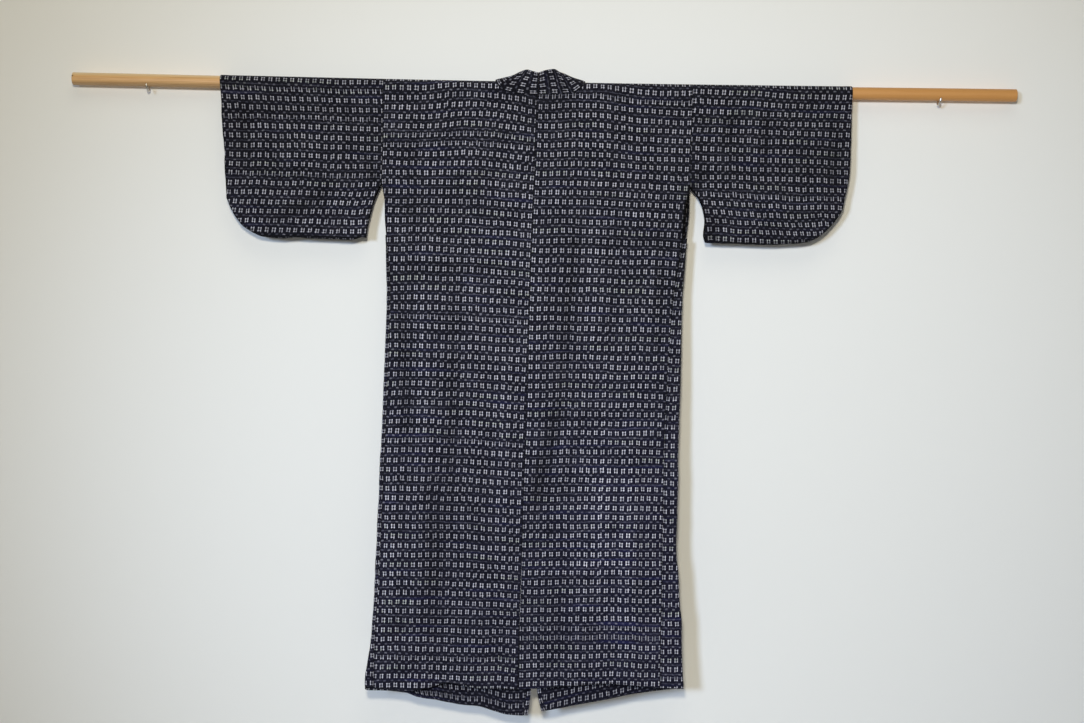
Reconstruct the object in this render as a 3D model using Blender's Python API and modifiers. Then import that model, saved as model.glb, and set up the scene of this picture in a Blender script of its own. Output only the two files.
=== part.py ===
"""A long unlined haori of indigo kasuri cotton, hung flat on a round wooden pole that lies on two wall hooks.

The coat hangs with its back to the viewer. +X runs along the pole to the viewer's right, +Z is up and +Y goes
into the wall. The origin is on the wall's surface, straight behind the middle of the pole and level with the
hooks. Drops are measured down from the pole's axis, which sags a little between the hooks, and depths out from
the plane that stands through it.
"""

import math
from collections import namedtuple

import bmesh
import bpy
from mathutils import Vector

COLLECTION = "haori_on_pole"
MERGE_DISTANCE = 0.00001
SHARP_ANGLE = math.radians(40.0)

# Cloth
WALL = 0.0013
COLLAR_WALL = 0.0026
SEAM_GAP = 0.0003

# Pole
POLE_LENGTH = 1.812
POLE_RADIUS = 0.012
POLE_EDGE = 0.001
POLE_EDGE_STEPS = 2
POLE_SAG = 0.004
POLE_STEPS = 12
POLE_BEVEL_RESOLUTION = 12

# Cup hooks, screwed into the wall; a lean turns one about its screw
HOOK_WIRE = 0.0034
HOOK_REACH = 0.026
HOOK_LOOP_RADIUS = 0.0113
HOOK_LOOP_DROP = 0.0095
HOOK_FLANGE_RADIUS = 0.0065
HOOK_FLANGE_FACE_RADIUS = 0.0052
HOOK_FLANGE_THICKNESS = 0.0016
HOOK_FLANGE_SIDES = 20
HOOK_TIP_RADIUS = 0.0019
HOOK_TIP_SIDES = 12
HOOK_TIP_RINGS = 8
HOOK_ARC_STEPS = 10
HOOK_WIRE_RESOLUTION = 2
Hook = namedtuple("Hook", "name x lean")
HOOKS = (
    Hook("hook_left", -0.7645, math.radians(10.0)),
    Hook("hook_right", 0.7600, math.radians(-6.0)),
)

# The pole lies a little forward of the hooks' loops, against their back bends
POLE_FORWARD = 0.00075
POLE_Y = -(HOOK_REACH + POLE_FORWARD)

# The cloth's middle surface where it goes over the pole; its chords need a little more room than an arc
POLE_CLEARANCE = 0.00045
FOLD_RADIUS = POLE_RADIUS + POLE_CLEARANCE + WALL / 2
FOLD_STEPS = 10

# Depth of the back layer's and the front layer's middle surface from the pole's plane
Layer = namedtuple("Layer", "drop middle side")
LAYERS = (
    Layer(0.000, FOLD_RADIUS, FOLD_RADIUS),
    Layer(0.050, 0.0126, 0.0120),
    Layer(0.120, 0.0118, 0.0104),
    Layer(0.182, 0.0112, 0.0090),
    Layer(0.300, 0.0104, 0.0066),
    Layer(0.600, 0.0096, 0.0060),
    Layer(0.900, 0.0096, 0.0060),
    Layer(1.220, 0.0102, 0.0062),
)
SIDE_BLEND = 0.090

# Edges of the body at each drop: the centre-back seam, the side edges of the back and of the front, the
# outermost fold of each gore, and the fronts' inner edges under the collar
Section = namedtuple(
    "Section",
    "drop seam back_left back_right front_left front_right fold_left fold_right open_left open_right",
)
SECTIONS = (
    Section(0.000, -0.014, -0.309, 0.283, -0.309, 0.283, -0.309, 0.283, -0.086, 0.068),
    Section(0.100, -0.016, -0.309, 0.283, -0.309, 0.283, -0.309, 0.283, -0.080, 0.064),
    Section(0.182, -0.017, -0.309, 0.283, -0.309, 0.283, -0.309, 0.283, -0.072, 0.057),
    Section(0.222, -0.018, -0.303, 0.274, -0.303, 0.283, -0.306, 0.285, -0.067, 0.053),
    Section(0.252, -0.018, -0.302, 0.271, -0.303, 0.281, -0.306, 0.284, -0.064, 0.051),
    Section(0.285, -0.019, -0.299, 0.270, -0.299, 0.277, -0.304, 0.282, -0.060, 0.048),
    Section(0.400, -0.021, -0.289, 0.254, -0.287, 0.265, -0.295, 0.271, -0.048, 0.038),
    Section(0.550, -0.023, -0.291, 0.246, -0.280, 0.264, -0.298, 0.270, -0.036, 0.029),
    Section(0.670, -0.025, -0.294, 0.242, -0.275, 0.262, -0.301, 0.270, -0.029, 0.024),
    Section(0.850, -0.027, -0.299, 0.242, -0.268, 0.254, -0.306, 0.269, -0.021, 0.019),
    Section(0.960, -0.028, -0.302, 0.242, -0.263, 0.258, -0.309, 0.277, -0.018, 0.017),
    Section(1.050, -0.030, -0.307, 0.242, -0.263, 0.263, -0.314, 0.283, -0.017, 0.016),
    Section(1.150, -0.031, -0.308, 0.242, -0.277, 0.268, -0.325, 0.288, -0.015, 0.016),
    Section(1.220, -0.032, -0.308, 0.242, -0.283, 0.269, -0.330, 0.289, -0.022, 0.031),
)
NECK_LEFT = 0.072
NECK_RIGHT = 0.082
NECK_DROP = 0.0245
GORE_TOP = 0.285

# Hems: how far each point of the hem lies below the pole's axis
Hem = namedtuple("Hem", "x drop")
BACK_HEM = (
    Hem(-0.330, 1.148),
    Hem(-0.292, 1.157),
    Hem(-0.244, 1.159),
    Hem(-0.205, 1.153),
    Hem(-0.163, 1.143),
    Hem(-0.130, 1.148),
    Hem(-0.100, 1.151),
    Hem(-0.032, 1.152),
    Hem(0.005, 1.150),
    Hem(0.071, 1.143),
    Hem(0.144, 1.139),
    Hem(0.194, 1.142),
    Hem(0.239, 1.146),
    Hem(0.290, 1.143),
)
FRONT_HEM = (
    Hem(-0.330, 1.159),
    Hem(-0.244, 1.167),
    Hem(-0.221, 1.176),
    Hem(-0.184, 1.181),
    Hem(-0.137, 1.188),
    Hem(-0.113, 1.189),
    Hem(-0.075, 1.200),
    Hem(-0.049, 1.206),
    Hem(-0.013, 1.207),
    Hem(0.010, 1.200),
    Hem(0.080, 1.186),
    Hem(0.166, 1.168),
    Hem(0.238, 1.154),
    Hem(0.290, 1.147),
)

# Largest soft folds of the body: where each runs, how wide and how far out it stands. A negative rise is a
# hollow. The front's folds face the wall. A fold grows and dies over these shares of its length.
FOLD_GROWS = 0.35
FOLD_DIES = 0.25
Fold = namedtuple("Fold", "top_x foot_x top foot half_width rise")
BACK_FOLDS = (
    Fold(-0.225, -0.244, 0.62, 1.40, 0.050, 0.0050),
    Fold(-0.170, -0.163, 0.80, 1.40, 0.038, -0.0030),
    Fold(-0.110, -0.100, 0.70, 1.40, 0.045, 0.0045),
    Fold(-0.030, -0.035, 0.85, 1.40, 0.040, 0.0020),
    Fold(0.095, 0.070, 0.74, 1.40, 0.048, 0.0035),
    Fold(0.150, 0.146, 0.86, 1.40, 0.036, -0.0022),
    Fold(0.205, 0.196, 0.66, 1.40, 0.042, 0.0040),
    Fold(-0.250, -0.190, 0.10, 0.52, 0.055, 0.0022),
    Fold(0.215, 0.160, 0.08, 0.50, 0.060, 0.0024),
    Fold(-0.060, -0.090, 0.02, 0.42, 0.050, 0.0018),
    Fold(0.045, 0.070, 0.02, 0.46, 0.052, 0.0020),
)
FRONT_FOLDS = (
    Fold(-0.200, -0.205, 0.70, 1.40, 0.045, 0.0045),
    Fold(-0.120, -0.120, 0.82, 1.40, 0.030, -0.0030),
    Fold(-0.085, -0.070, 0.66, 1.40, 0.040, 0.0030),
    Fold(0.075, 0.085, 0.72, 1.40, 0.044, 0.0035),
    Fold(0.180, 0.190, 0.78, 1.40, 0.045, 0.0045),
    Fold(-0.240, -0.170, 0.08, 0.56, 0.055, 0.0026),
    Fold(0.220, 0.150, 0.10, 0.60, 0.055, 0.0026),
)

# Sleeves: inner and outer edge at each drop, the bottom at each share of the way out, and soft folds
SleeveEdge = namedtuple("SleeveEdge", "drop left_in left_out right_in right_out")
SLEEVE_EDGES = (
    SleeveEdge(0.000, -0.309, -0.622, 0.283, 0.590),
    SleeveEdge(0.030, -0.309, -0.619, 0.283, 0.589),
    SleeveEdge(0.074, -0.309, -0.616, 0.283, 0.588),
    SleeveEdge(0.131, -0.309, -0.612, 0.283, 0.588),
    SleeveEdge(0.182, -0.309, -0.609, 0.283, 0.584),
    SleeveEdge(0.202, -0.316, -0.608, 0.297, 0.580),
    SleeveEdge(0.222, -0.324, -0.607, 0.307, 0.577),
    SleeveEdge(0.250, -0.331, -0.606, 0.312, 0.576),
    SleeveEdge(0.275, -0.336, -0.606, 0.310, 0.576),
    SleeveEdge(0.300, -0.338, -0.606, 0.318, 0.576),
)
SleeveBottom = namedtuple("SleeveBottom", "share left right")
SLEEVE_BOTTOMS = (
    SleeveBottom(0.00, 0.292, 0.290),
    SleeveBottom(0.12, 0.301, 0.297),
    SleeveBottom(0.25, 0.301, 0.297),
    SleeveBottom(0.38, 0.301, 0.297),
    SleeveBottom(0.50, 0.299, 0.297),
    SleeveBottom(0.62, 0.301, 0.296),
    SleeveBottom(0.74, 0.297, 0.292),
    SleeveBottom(0.82, 0.288, 0.284),
    SleeveBottom(0.88, 0.276, 0.272),
    SleeveBottom(0.93, 0.261, 0.257),
    SleeveBottom(0.97, 0.243, 0.240),
    SleeveBottom(1.00, 0.224, 0.221),
)
SLEEVE_TURN = 0.006
SLEEVE_NARROWING = 0.080

# A sleeve's folds start at this share of the way out and end this far above its bottom
SLEEVE_FOLDS_START = 0.12
SLEEVE_FOLDS_END = 0.050
SLEEVE_FOLDS = (
    Fold(0.18, 0.34, 0.03, 0.29, 0.14, 0.0024),
    Fold(0.52, 0.60, 0.06, 0.34, 0.12, 0.0030),
    Fold(0.84, 0.74, 0.05, 0.32, 0.10, 0.0022),
)

# Gores: the cloth beside each seam runs straight before it turns round the fold
GORE_STRAIGHT = 0.002
GORE_RUN = 0.001
GORE_TURN = 0.004

# Collar: its width, how far it stands past the front's edge at the neck and lower down, where that change
# ends, and how far its middle is off the cloth's middle surface
COLLAR_WIDTH = 0.050
COLLAR_PAST_NECK = 0.041
COLLAR_PAST_FRONT = 0.010
COLLAR_SETTLED = 0.250
COLLAR_CLEARANCE = 0.0006
COLLAR_LIFT = WALL / 2 + COLLAR_CLEARANCE + COLLAR_WALL / 2
COLLAR_SEAM_X = -0.012

# The neck part of a collar half, from the centre back to where it lies on the front. The free edge lies round
# the pole at an angle from straight up, 90 degrees being the viewer's side, and hangs by a drop below that.
# The folded edge stands free. Across is measured outward from the centre-back seam.
NeckRow = namedtuple("NeckRow", "along free_across free_angle free_drop fold_across fold_depth fold_height")
NECK_ROWS_LEFT = (
    NeckRow(0.00, 0.000, 90.0, 0.0140, 0.000, 0.0125, 0.0295),
    NeckRow(0.14, 0.024, 90.0, 0.0138, 0.011, 0.0122, 0.0320),
    NeckRow(0.28, 0.047, 90.0, 0.0115, 0.022, 0.0112, 0.0350),
    NeckRow(0.40, 0.064, 90.0, 0.0075, 0.033, 0.0090, 0.0320),
    NeckRow(0.50, 0.075, 84.0, 0.0010, 0.040, 0.0050, 0.0290),
    NeckRow(0.60, 0.080, 56.0, 0.0000, 0.043, 0.0000, 0.0270),
    NeckRow(0.70, 0.082, 20.0, 0.0000, 0.045, -0.0060, 0.0250),
    NeckRow(0.80, 0.083, -20.0, 0.0000, 0.046, -0.0115, 0.0200),
    NeckRow(0.90, 0.083, -56.0, 0.0000, 0.046, -0.0148, 0.0110),
    NeckRow(1.00, 0.083, -90.0, 0.0000, 0.045, -0.0156, 0.0000),
)
NECK_ROWS_RIGHT = (
    NeckRow(0.00, 0.000, 90.0, 0.0130, 0.000, 0.0125, 0.0295),
    NeckRow(0.14, 0.022, 90.0, 0.0125, 0.014, 0.0122, 0.0345),
    NeckRow(0.28, 0.047, 90.0, 0.0110, 0.030, 0.0112, 0.0370),
    NeckRow(0.40, 0.068, 90.0, 0.0085, 0.042, 0.0090, 0.0310),
    NeckRow(0.50, 0.081, 84.0, 0.0010, 0.051, 0.0050, 0.0290),
    NeckRow(0.60, 0.087, 56.0, 0.0000, 0.056, 0.0000, 0.0265),
    NeckRow(0.70, 0.089, 20.0, 0.0000, 0.058, -0.0060, 0.0245),
    NeckRow(0.80, 0.090, -20.0, 0.0000, 0.056, -0.0115, 0.0195),
    NeckRow(0.90, 0.090, -56.0, 0.0000, 0.053, -0.0148, 0.0105),
    NeckRow(1.00, 0.090, -90.0, 0.0000, 0.049, -0.0156, 0.0000),
)

# Rows and columns of the cloth
TOP_DROPS = (0.0040, 0.022, 0.050, 0.090, 0.135, 0.182, 0.222, 0.252, 0.285)
LOWER_ROWS = 17
NOMINAL_HEM = 1.150
BODY_COLUMNS = 8
SLEEVE_DROPS = (0.030, 0.070, 0.110, 0.147, 0.182, 0.215, 0.250)
SLEEVE_TURN_STEPS = 4
GORE_TURN_STEPS = 5
NECK_STEPS = 18
COLLAR_COLUMNS = 5
COLUMNS_UNDER_COLLAR = 3

# A point's drop and its place across depend on each other, so both are found in a few passes
PASSES = 3


def smooth_step(value):
    """A soft 0 to 1."""
    held = min(max(value, 0.0), 1.0)
    return held * held * (3.0 - 2.0 * held)


def lerp(start, end, share):
    return start + (end - start) * share


def read(rows, key, column, where):
    """A smooth curve through one column of a table, which never swings past its values."""
    keys = [getattr(row, key) for row in rows]
    values = [getattr(row, column) for row in rows]
    if where <= keys[0]:
        return values[0]
    if where >= keys[-1]:
        return values[-1]
    index = max(i for i in range(len(keys) - 1) if keys[i] <= where)

    def secant(at):
        held = min(max(at, 0), len(keys) - 2)
        return (values[held + 1] - values[held]) / (keys[held + 1] - keys[held])

    def slope(at):
        before = secant(at - 1)
        after = secant(at)
        return 2.0 * before * after / (before + after) if before * after > 0.0 else 0.0

    span = keys[index + 1] - keys[index]
    t = (where - keys[index]) / span
    start = (1 + 2 * t) * (1 - t) ** 2 * values[index] + t * (1 - t) ** 2 * span * slope(index)
    end = t * t * (3 - 2 * t) * values[index + 1] + t * t * (t - 1) * span * slope(index + 1)
    return start + end


def sag(x):
    """How far the pole's axis, and all that hangs on it, lies below the hooks' height at one place."""

    def dip(at):
        return POLE_SAG * (1.0 - min(abs(2.0 * at / POLE_LENGTH), 1.0) ** 2) ** 1.5

    return dip(x) - dip(HOOKS[1].x)


def fold_rise(folds, x, drop):
    """How far the soft folds lift the cloth at one point."""
    rise = 0.0
    for fold in folds:
        along = (drop - fold.top) / (fold.foot - fold.top)
        centre = lerp(fold.top_x, fold.foot_x, along)
        off = abs(x - centre) / fold.half_width
        if 0.0 < along < 1.0 and off < 1.0:
            ends = smooth_step(along / FOLD_GROWS) * smooth_step((1.0 - along) / FOLD_DIES)
            rise += fold.rise * ends * (0.5 + 0.5 * math.cos(math.pi * off))
    return rise


def body_depth(x, drop, facing):
    """Depth of the back (facing -1) or front (facing 1) layer's middle surface."""
    middle = read(LAYERS, "drop", "middle", drop)
    side = read(LAYERS, "drop", "side", drop)
    column = "back" if facing < 0 else "front"
    left = read(SECTIONS, "drop", column + "_left", drop)
    right = read(SECTIONS, "drop", column + "_right", drop)
    from_side = min(x - left, right - x)
    inside = smooth_step(from_side / SIDE_BLEND)
    rise = fold_rise(BACK_FOLDS if facing < 0 else FRONT_FOLDS, x, drop)
    return lerp(side, middle, inside) + rise * inside


def hanging_point(x, drop, facing, lift=0.0):
    """A point of a hanging layer, lifted off the cloth by some of its normal."""
    return Vector((x, POLE_Y + facing * (body_depth(x, drop, facing) + lift), -drop))


def over_pole(x, angle, radius=FOLD_RADIUS):
    """A point of cloth that lies round the pole, at an angle from straight up; 90 is the viewer's side."""
    turn = math.radians(angle)
    return Vector((x, POLE_Y - radius * math.sin(turn), radius * math.cos(turn)))


def fold_angles():
    return [90.0 - 180.0 * step / FOLD_STEPS for step in range(FOLD_STEPS + 1)]


def nominal_drops():
    lower = [lerp(GORE_TOP, NOMINAL_HEM, (step + 1) / LOWER_ROWS) for step in range(LOWER_ROWS)]
    return [*TOP_DROPS, *lower]


def true_drop(nominal, x, facing):
    """Where a row really lies at one place across, as the hem isn't level."""
    hem = read(BACK_HEM if facing < 0 else FRONT_HEM, "x", "drop", x)
    return nominal * hem / NOMINAL_HEM


def edge_x(column, drop, pull):
    """An edge of the body, drawn back from its seam."""
    return read(SECTIONS, "drop", column, drop) + pull


def collar_past(drop):
    """How far the collar's fold stands past the front's inner edge."""
    return lerp(COLLAR_PAST_NECK, COLLAR_PAST_FRONT, smooth_step(drop / COLLAR_SETTLED))


def front_columns(drop, side, pull):
    """Places across a front at one drop. The first few lie under the collar's own columns."""
    outward = -1.0 if side == "left" else 1.0
    inner = edge_x("open_" + side, drop, 0.0)
    outer = edge_x("front_" + side, drop, pull)
    under = outward * (COLLAR_WIDTH - collar_past(drop))
    rest = BODY_COLUMNS + 1 - COLUMNS_UNDER_COLLAR
    wide = [lerp(inner + under, outer, (step + 1) / rest) for step in range(rest)]
    return [inner, inner + under / 2, inner + under, *wide]


def body_rows(side):
    """Rows of one half of the body, from the back hem up, over the pole and down to the front hem."""
    outward = -1.0 if side == "left" else 1.0
    half_gap = outward * SEAM_GAP / 2
    neck = NECK_LEFT if side == "left" else NECK_RIGHT
    shares = [column / BODY_COLUMNS for column in range(BODY_COLUMNS + 1)]
    rows = []

    def columns(drop, facing):
        if facing > 0:
            return front_columns(drop, side, -half_gap)
        inner = edge_x("seam", drop, half_gap)
        outer = edge_x("back_" + side, drop, -half_gap)
        return [lerp(inner, outer, share) for share in shares]

    def hanging_row(nominal, facing):
        points = []
        for column in range(BODY_COLUMNS + 1):
            drop = nominal
            for _ in range(PASSES):
                x = columns(drop, facing)[column]
                drop = true_drop(nominal, x, facing)
            points.append(hanging_point(x, drop, facing))
        return points

    for nominal in reversed(nominal_drops()):
        rows.append(hanging_row(nominal, -1.0))
    outer_x = edge_x("back_" + side, 0.0, -half_gap)
    for angle in fold_angles():
        along = max(angle, 0.0) / 180.0 * math.pi * FOLD_RADIUS / NECK_DROP
        inner_x = edge_x("seam", 0.0, half_gap) + outward * neck * math.sqrt(1.0 - along * along)
        rows.append([over_pole(lerp(inner_x, outer_x, share), angle) for share in shares])
    for nominal in nominal_drops():
        rows.append(hanging_row(nominal, 1.0))
    return rows


def sleeve_rings(side):
    """Rings of one sleeve, from the armhole out to the cuff, each closed under its bottom."""
    half_gap = (-1.0 if side == "left" else 1.0) * SEAM_GAP / 2
    inner_bottom = getattr(SLEEVE_BOTTOMS[0], side) - SLEEVE_TURN

    def ring(row):
        turn_drop = getattr(row, side) - SLEEVE_TURN

        def place(drop, depth, facing):
            inner = read(SLEEVE_EDGES, "drop", side + "_in", drop) + half_gap
            outer = read(SLEEVE_EDGES, "drop", side + "_out", drop)
            window = smooth_step(row.share / SLEEVE_FOLDS_START)
            window *= smooth_step((turn_drop - drop) / SLEEVE_FOLDS_END)
            rise = fold_rise(SLEEVE_FOLDS, row.share, drop) * window
            return Vector((lerp(inner, outer, row.share), POLE_Y + facing * (depth + rise), -drop))

        drops = [drop * turn_drop / inner_bottom for drop in SLEEVE_DROPS] + [turn_drop]
        depths = []
        for drop in drops:
            near = smooth_step((drop - turn_drop + SLEEVE_NARROWING) / SLEEVE_NARROWING)
            depths.append(lerp(read(LAYERS, "drop", "side", drop), SLEEVE_TURN, near))
        top_x = [place(0.0, 0.0, 1.0).x for _ in fold_angles()]
        points = [over_pole(x, angle) for x, angle in zip(top_x, fold_angles())]
        points += [place(drop, depth, 1.0) for drop, depth in zip(drops, depths)]
        for step in range(1, SLEEVE_TURN_STEPS):
            turn = math.pi * step / SLEEVE_TURN_STEPS
            drop = turn_drop + SLEEVE_TURN * math.sin(turn)
            points.append(place(drop, SLEEVE_TURN * math.cos(turn), 1.0))
        points += [place(drop, depth, -1.0) for drop, depth in reversed(list(zip(drops, depths)))]
        return points

    return [ring(row) for row in SLEEVE_BOTTOMS]


def gore_rows(side):
    """Rows of one gore, each from the back's side edge, round its outer fold, to the front's side edge."""
    outward = -1.0 if side == "left" else 1.0
    rows = []
    for nominal in [drop for drop in nominal_drops() if drop >= GORE_TOP]:
        ends = []
        for column, facing in (("back_" + side, -1.0), ("front_" + side, 1.0)):
            drop = nominal
            for _ in range(PASSES):
                x = edge_x(column, drop, outward * SEAM_GAP / 2)
                drop = true_drop(nominal, x, facing)
            ends.append(hanging_point(x, drop, facing))
        back, front = ends
        fold_x = read(SECTIONS, "drop", "fold_" + side, -(back.z + front.z) / 2)
        least = max(outward * back.x, outward * front.x) + GORE_STRAIGHT + GORE_RUN
        turn_x = outward * max(outward * fold_x - GORE_TURN, least)
        straight = back.x + outward * GORE_STRAIGHT
        path = [back, Vector((straight, back.y, back.z)), Vector(((straight + turn_x) / 2, back.y, back.z))]
        for step in range(GORE_TURN_STEPS + 1):
            turn = math.pi * step / GORE_TURN_STEPS
            middle = (back + front) / 2
            half = (front - back) / 2
            path.append(Vector((
                turn_x + outward * GORE_TURN * math.sin(turn),
                middle.y - half.y * math.cos(turn),
                middle.z - half.z * math.cos(turn),
            )))
        straight = front.x + outward * GORE_STRAIGHT
        path.append(Vector(((straight + turn_x) / 2, front.y, front.z)))
        path.append(Vector((straight, front.y, front.z)))
        path.append(front)
        rows.append(path)
    return rows


def collar_rows(side):
    """Rows of one half of the collar, from the centre back over the pole and down the front edge."""
    outward = -1.0 if side == "left" else 1.0
    seam_x = COLLAR_SEAM_X + outward * SEAM_GAP / 2
    table = NECK_ROWS_LEFT if side == "left" else NECK_ROWS_RIGHT
    rows = []
    for step in range(NECK_STEPS + 1):
        neck = NeckRow(*(read(table, "along", column, step / NECK_STEPS) for column in NeckRow._fields))
        free_x = seam_x + outward * neck.free_across
        free = over_pole(free_x, neck.free_angle, FOLD_RADIUS + COLLAR_LIFT)
        free.z -= neck.free_drop
        fold = Vector((seam_x + outward * neck.fold_across, POLE_Y - neck.fold_depth, neck.fold_height))
        under = (COLLAR_WIDTH - COLLAR_PAST_NECK) / COLLAR_WIDTH
        points = []
        for share in (0.0, under / 2, under, 0.5, 1.0):
            point = free.lerp(fold, share)
            point.y = lerp(free.y, fold.y, share * share)
            points.append(point)
        rows.append(points)
    for nominal in nominal_drops():
        points = []
        for column in range(COLLAR_COLUMNS):
            drop = nominal
            for _ in range(PASSES):
                edge, middle, free_x = front_columns(drop, side, 0.0)[:COLUMNS_UNDER_COLLAR]
                fold_x = edge - outward * collar_past(drop)
                x = (free_x, middle, edge, (edge + fold_x) / 2, fold_x)[column]
                drop = true_drop(nominal, x, 1.0)
            points.append(hanging_point(x, drop, 1.0, COLLAR_LIFT))
        rows.append(points)
    return rows


def new_material(name, colour, roughness, metallic=0.0):
    material = bpy.data.materials.new(name)
    material.use_nodes = True
    shader = material.node_tree.nodes["Principled BSDF"]
    shader.inputs["Base Color"].default_value = (*colour, 1.0)
    shader.inputs["Roughness"].default_value = roughness
    shader.inputs["Metallic"].default_value = metallic
    return material


def add_object(name, mesh, collection, material):
    """A new object from a mesh, smooth but for its hard edges."""
    item = bpy.data.objects.new(name, mesh)
    collection.objects.link(item)
    mesh.materials.append(material)
    mesh.shade_smooth()
    mesh.set_sharp_from_angle(angle=SHARP_ANGLE)
    return item


def add_cloth(name, rows, thickness, collection, material, ring=False):
    """A sheet through rows of points, given its wall by Solidify. A ring's last point joins its first."""
    grid = bmesh.new()
    lines = [[grid.verts.new((p.x, p.y, p.z - sag(p.x))) for p in row] for row in rows]
    for near, far in zip(lines, lines[1:]):
        last = len(near) if ring else len(near) - 1
        for index in range(last):
            after = (index + 1) % len(near)
            grid.faces.new((near[index], near[after], far[after], far[index]))
    bmesh.ops.recalc_face_normals(grid, faces=grid.faces)
    mesh = bpy.data.meshes.new(name)
    grid.to_mesh(mesh)
    grid.free()
    item = add_object(name, mesh, collection, material)
    wall = item.modifiers.new("Wall", "SOLIDIFY")
    wall.thickness = thickness
    wall.offset = 0.0
    wall.use_even_offset = True
    return item


def add_pole(collection, material):
    """The round pole, sagging a little under its load, with its end edges eased."""
    curve = bpy.data.curves.new("pole", "CURVE")
    curve.dimensions = "3D"
    curve.bevel_depth = POLE_RADIUS
    curve.bevel_resolution = POLE_BEVEL_RESOLUTION
    curve.use_fill_caps = True
    spline = curve.splines.new("POLY")
    spline.points.add(POLE_STEPS)
    for step, point in enumerate(spline.points):
        x = POLE_LENGTH * (step / POLE_STEPS - 0.5)
        point.co = (x, 0.0, -sag(x), 1.0)
    spline.use_smooth = True
    curve.materials.append(material)
    pole = bpy.data.objects.new("pole", curve)
    pole.location.y = POLE_Y
    collection.objects.link(pole)
    weld = pole.modifiers.new("Weld", "WELD")
    weld.merge_threshold = MERGE_DISTANCE
    edge = pole.modifiers.new("Edge", "BEVEL")
    edge.width = POLE_EDGE
    edge.segments = POLE_EDGE_STEPS
    edge.limit_method = "ANGLE"
    edge.angle_limit = SHARP_ANGLE
    return pole


def hook_route():
    """The wire's middle line, from inside the flange, down the back bend, round the loop and up to the tip."""
    back_y = -(HOOK_REACH - HOOK_LOOP_RADIUS)
    bend_y = back_y + HOOK_LOOP_DROP
    route = [(0.0, -HOOK_FLANGE_THICKNESS / 2, 0.0)]
    for step in range(HOOK_ARC_STEPS // 2 + 1):
        turn = math.pi / 2 * step / (HOOK_ARC_STEPS // 2)
        route.append((0.0, bend_y - HOOK_LOOP_DROP * math.sin(turn), -HOOK_LOOP_DROP * (1.0 - math.cos(turn))))
    for step in range(1, HOOK_ARC_STEPS + 1):
        turn = math.pi * step / HOOK_ARC_STEPS
        route.append((
            0.0,
            -HOOK_REACH + HOOK_LOOP_RADIUS * math.cos(turn),
            -HOOK_LOOP_DROP - HOOK_LOOP_RADIUS * math.sin(turn),
        ))
    return route


def wire_mesh(name, route, diameter):
    """A bent wire with closed ends, as a mesh."""
    curve = bpy.data.curves.new(name, "CURVE")
    curve.dimensions = "3D"
    curve.bevel_depth = diameter / 2
    curve.bevel_resolution = HOOK_WIRE_RESOLUTION
    curve.use_fill_caps = True
    spline = curve.splines.new("POLY")
    spline.points.add(len(route) - 1)
    for point, place in zip(spline.points, route):
        point.co = (*place, 1.0)
    guide = bpy.data.objects.new(name, curve)
    bpy.context.scene.collection.objects.link(guide)
    graph = bpy.context.evaluated_depsgraph_get()
    mesh = bpy.data.meshes.new_from_object(guide.evaluated_get(graph))
    bpy.data.objects.remove(guide)
    bpy.data.curves.remove(curve)
    welded = bmesh.new()
    welded.from_mesh(mesh)
    bmesh.ops.remove_doubles(welded, verts=welded.verts, dist=MERGE_DISTANCE)
    welded.to_mesh(mesh)
    welded.free()
    return mesh


def add_union(item, tool):
    """Joins a tool's shape into an object."""
    join = item.modifiers.new("Join " + tool.name, "BOOLEAN")
    join.operation = "UNION"
    join.object = tool
    tool.hide_render = True
    tool.display_type = "WIRE"


def add_hook(hook, collection, tools, material):
    """A cup hook: a flange on the wall, a wire loop that carries the pole, and a small ball on its tip."""
    route = hook_route()
    wire = wire_mesh(hook.name, route, HOOK_WIRE)
    item = add_object(hook.name, wire, collection, material)
    flange = bmesh.new()
    bmesh.ops.create_cone(
        flange,
        cap_ends=True,
        segments=HOOK_FLANGE_SIDES,
        radius1=HOOK_FLANGE_RADIUS,
        radius2=HOOK_FLANGE_FACE_RADIUS,
        depth=HOOK_FLANGE_THICKNESS,
    )
    flange_mesh = bpy.data.meshes.new(hook.name + "_flange")
    flange.to_mesh(flange_mesh)
    flange.free()
    flange_tool = bpy.data.objects.new(hook.name + "_flange", flange_mesh)
    tools.objects.link(flange_tool)
    flange_tool.parent = item
    flange_tool.location = (0.0, -HOOK_FLANGE_THICKNESS / 2, 0.0)
    flange_tool.rotation_euler = (math.radians(90.0), 0.0, 0.0)
    ball = bmesh.new()
    bmesh.ops.create_uvsphere(
        ball,
        u_segments=HOOK_TIP_SIDES,
        v_segments=HOOK_TIP_RINGS,
        radius=HOOK_TIP_RADIUS,
    )
    ball_mesh = bpy.data.meshes.new(hook.name + "_tip")
    ball.to_mesh(ball_mesh)
    ball.free()
    ball_tool = bpy.data.objects.new(hook.name + "_tip", ball_mesh)
    tools.objects.link(ball_tool)
    ball_tool.parent = item
    ball_tool.location = route[-1]
    item.location = (hook.x, 0.0, 0.0)
    item.rotation_euler = (0.0, -hook.lean, 0.0)
    add_union(item, flange_tool)
    add_union(item, ball_tool)
    return item


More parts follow.
